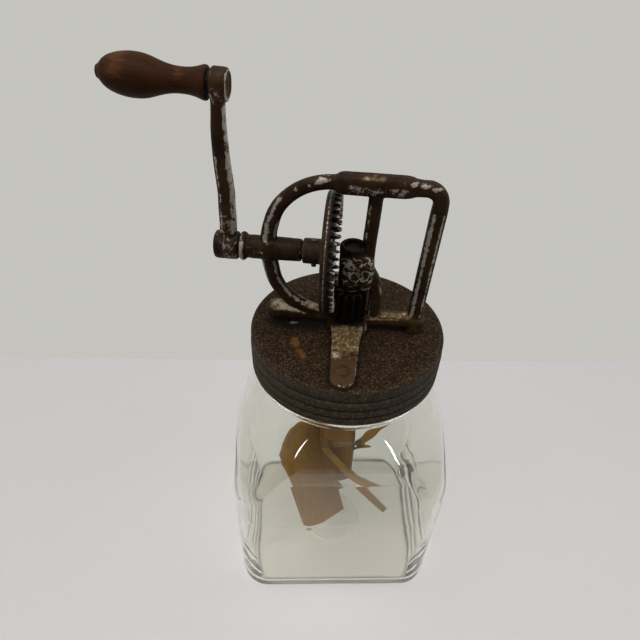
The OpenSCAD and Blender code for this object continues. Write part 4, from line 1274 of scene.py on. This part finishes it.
hub = NODES["dasher_hub"]
hc = coords(hub.data)
put_attr(hub.data, "grain", np.column_stack([hc[:, 2], hc[:, 0] + 0.013, hc[:, 1] + 0.05]))
dress(hub, mat_hub)
for nm in ("crank_shaft", "arm_pin", "gear_pin", "pinion_pin", "hub_pin"):
    dress(NODES[nm], mat_steel)
dress(NODES["dasher_shaft"], mat_oily)
for nm in ("shaft_collar", "handle_spindle"):
    dress(NODES[nm], mat_rust)
dress(NODES["spindle_washer"], mat_dark)
dress(NODES["thrust_washer"], mat_dark)
dress(NODES["lid_bushing"], mat_brass)
dress(NODES["lid_gasket"], mat_rubber)
dress(NODES["strap_rivets"], mat_rivet)

# --------------------------------------------------------------------------
# stage, light and camera
# --------------------------------------------------------------------------

def build_stage():
    me = bpy.data.meshes.new("table")
    me.from_pydata([(-1.6, -0.185, 0), (1.6, -0.185, 0), (1.6, 0.202, 0), (-1.6, 0.202, 0)], [], [(0, 1, 2, 3)])
    o = bpy.data.objects.new("table", me)
    scene.collection.objects.link(o)
    M = Mat("pale_table")
    n = M.noise(6, 3.0, 0.5)
    M.set(Base_Color=M.mix(n, (0.688, 0.683, 0.690), (0.716, 0.711, 0.718)), Roughness=0.6)
    dress(o, M.m)

    w = bpy.data.worlds.new("studio")
    scene.world = w
    w.use_nodes = True
    nt = w.node_tree
    nt.nodes.clear()
    out = nt.nodes.new("ShaderNodeOutputWorld")
    bg = nt.nodes.new("ShaderNodeBackground")
    tc = nt.nodes.new("ShaderNodeTexCoord")
    sep = nt.nodes.new("ShaderNodeSeparateXYZ")
    nt.links.new(tc.outputs["Generated"], sep.inputs[0])
    # pale wall behind, dim room in front, bright overhead
    front = nt.nodes.new("ShaderNodeMapRange")
    front.interpolation_type = "SMOOTHSTEP"
    front.inputs["From Min"].default_value = -0.15
    front.inputs["From Max"].default_value = -0.75
    nt.links.new(sep.outputs["Y"], front.inputs["Value"])
    up = nt.nodes.new("ShaderNodeMapRange")
    up.interpolation_type = "SMOOTHSTEP"
    up.inputs["From Min"].default_value = 0.45
    up.inputs["From Max"].default_value = 0.95
    nt.links.new(sep.outputs["Z"], up.inputs["Value"])
    m1 = nt.nodes.new("ShaderNodeMix")
    m1.data_type = "RGBA"
    m1.inputs[6].default_value = (0.556, 0.550, 0.517, 1)
    lp = nt.nodes.new("ShaderNodeLightPath")
    m0 = nt.nodes.new("ShaderNodeMix")
    m0.data_type = "RGBA"
    clear = nt.nodes.new("ShaderNodeMath")
    clear.operation = "SUBTRACT"
    clear.use_clamp = True
    nt.links.new(lp.outputs["Is Transmission Ray"], clear.inputs[0])
    nt.links.new(lp.outputs["Diffuse Depth"], clear.inputs[1])
    nt.links.new(clear.outputs[0], m0.inputs[0])
    m0.inputs[6].default_value = (0.11, 0.105, 0.10, 1)
    m0.inputs[7].default_value = (0.15, 0.155, 0.14, 1)
    m3 = nt.nodes.new("ShaderNodeMix")
    m3.data_type = "RGBA"
    nt.links.new(lp.outputs["Is Camera Ray"], m3.inputs[0])
    nt.links.new(m0.outputs[2], m3.inputs[6])
    m3.inputs[7].default_value = (0.556, 0.550, 0.517, 1)
    nt.links.new(m3.outputs[2], m1.inputs[7])
    nt.links.new(front.outputs[0], m1.inputs[0])
    m2 = nt.nodes.new("ShaderNodeMix")
    m2.data_type = "RGBA"
    nt.links.new(up.outputs[0], m2.inputs[0])
    nt.links.new(m1.outputs[2], m2.inputs[6])
    m2.inputs[7].default_value = (0.62, 0.615, 0.60, 1)
    nt.links.new(m2.outputs[2], bg.inputs["Color"])
    bg.inputs["Strength"].default_value = 1.0
    nt.links.new(bg.outputs[0], out.inputs["Surface"])

    def area(name, loc, target, size, power, col=(1, 1, 1), shine=False):
        L = bpy.data.lights.new(name, "AREA")
        L.shape = "RECTANGLE"
        L.size, L.size_y = size
        L.energy = power
        L.color = col
        ob = bpy.data.objects.new(name, L)
        scene.collection.objects.link(ob)
        ob.location = loc
        d = Vector(target) - Vector(loc)
        ob.rotation_euler = d.to_track_quat("-Z", "Y").to_euler()
        ob.visible_camera = False
        if shine:
            # only seen as a reflection in the glass
            ob.visible_diffuse = False
            ob.visible_transmission = False
            ob.light_linking.receiver_collection = glass_only
        return ob

    glass_only = bpy.data.collections.new("glass_only")
    glass_only.objects.link(jar_glass)

    area("key_soft", (-0.30, -0.30, 1.40), (0, 0, 0.12), (0.9, 0.9), 7.0, (1.0, 0.99, 0.97))
    area("fill_soft", (0.9, -0.4, 1.0), (0, 0, 0.15), (0.8, 0.8), 2.0, (0.97, 0.985, 1.0))
    # small low lamps and long strips, seen as bright lines on the glass
    area("shine_left", (-0.155, -0.294, 0.02), (-0.0285, -0.0565, 0.173), (0.014, 0.04), 0.055, shine=True)
    area("shine_right", (0.137, -0.240, 0.02), (0.026, -0.057, 0.172), (0.014, 0.04), 0.055, shine=True)
    area("shine_strip", (0.0, -0.9, 1.0), (0, -0.05, 0.19), (3.0, 0.10), 11.0, shine=True)
    area("shine_strip_l", (-1.1, -0.1, 1.0), (-0.05, 0, 0.19), (1.6, 0.10), 6.0, shine=True)
    area("shine_strip_r", (1.1, -0.1, 1.0), (0.05, 0, 0.19), (1.6, 0.10), 6.0, shine=True)


build_stage()


def build_camera():
    cam = bpy.data.cameras.new("photo_camera")
    cam.sensor_fit = "HORIZONTAL"
    cam.sensor_width = 36.0
    cam.lens = 504.0 / 640.0 * 36.0
    cam.clip_start = 0.01
    o = bpy.data.objects.new("photo_camera", cam)
    scene.collection.objects.link(o)
    pitch, roll, yaw = math.radians(39.05), math.radians(2.35), math.radians(2.8)
    R = Matrix.Rotation(-yaw, 4, "Z") @ Matrix.Rotation(math.pi / 2 - pitch, 4, "X") @ Matrix.Rotation(roll, 4, "Z")
    o.matrix_world = Matrix.Translation(Vector((-0.0288, -0.2411, 0.4223))) @ R
    scene.camera = o


build_camera()
scene.view_settings.view_transform = "Standard"
scene.view_settings.look = "None"
scene.view_settings.exposure = 0.0
# light is reflected many times inside the thick corners of the glass
scene.cycles.max_bounces = 32
scene.cycles.glossy_bounces = 24
scene.cycles.transmission_bounces = 32
scene.cycles.caustics_reflective = False
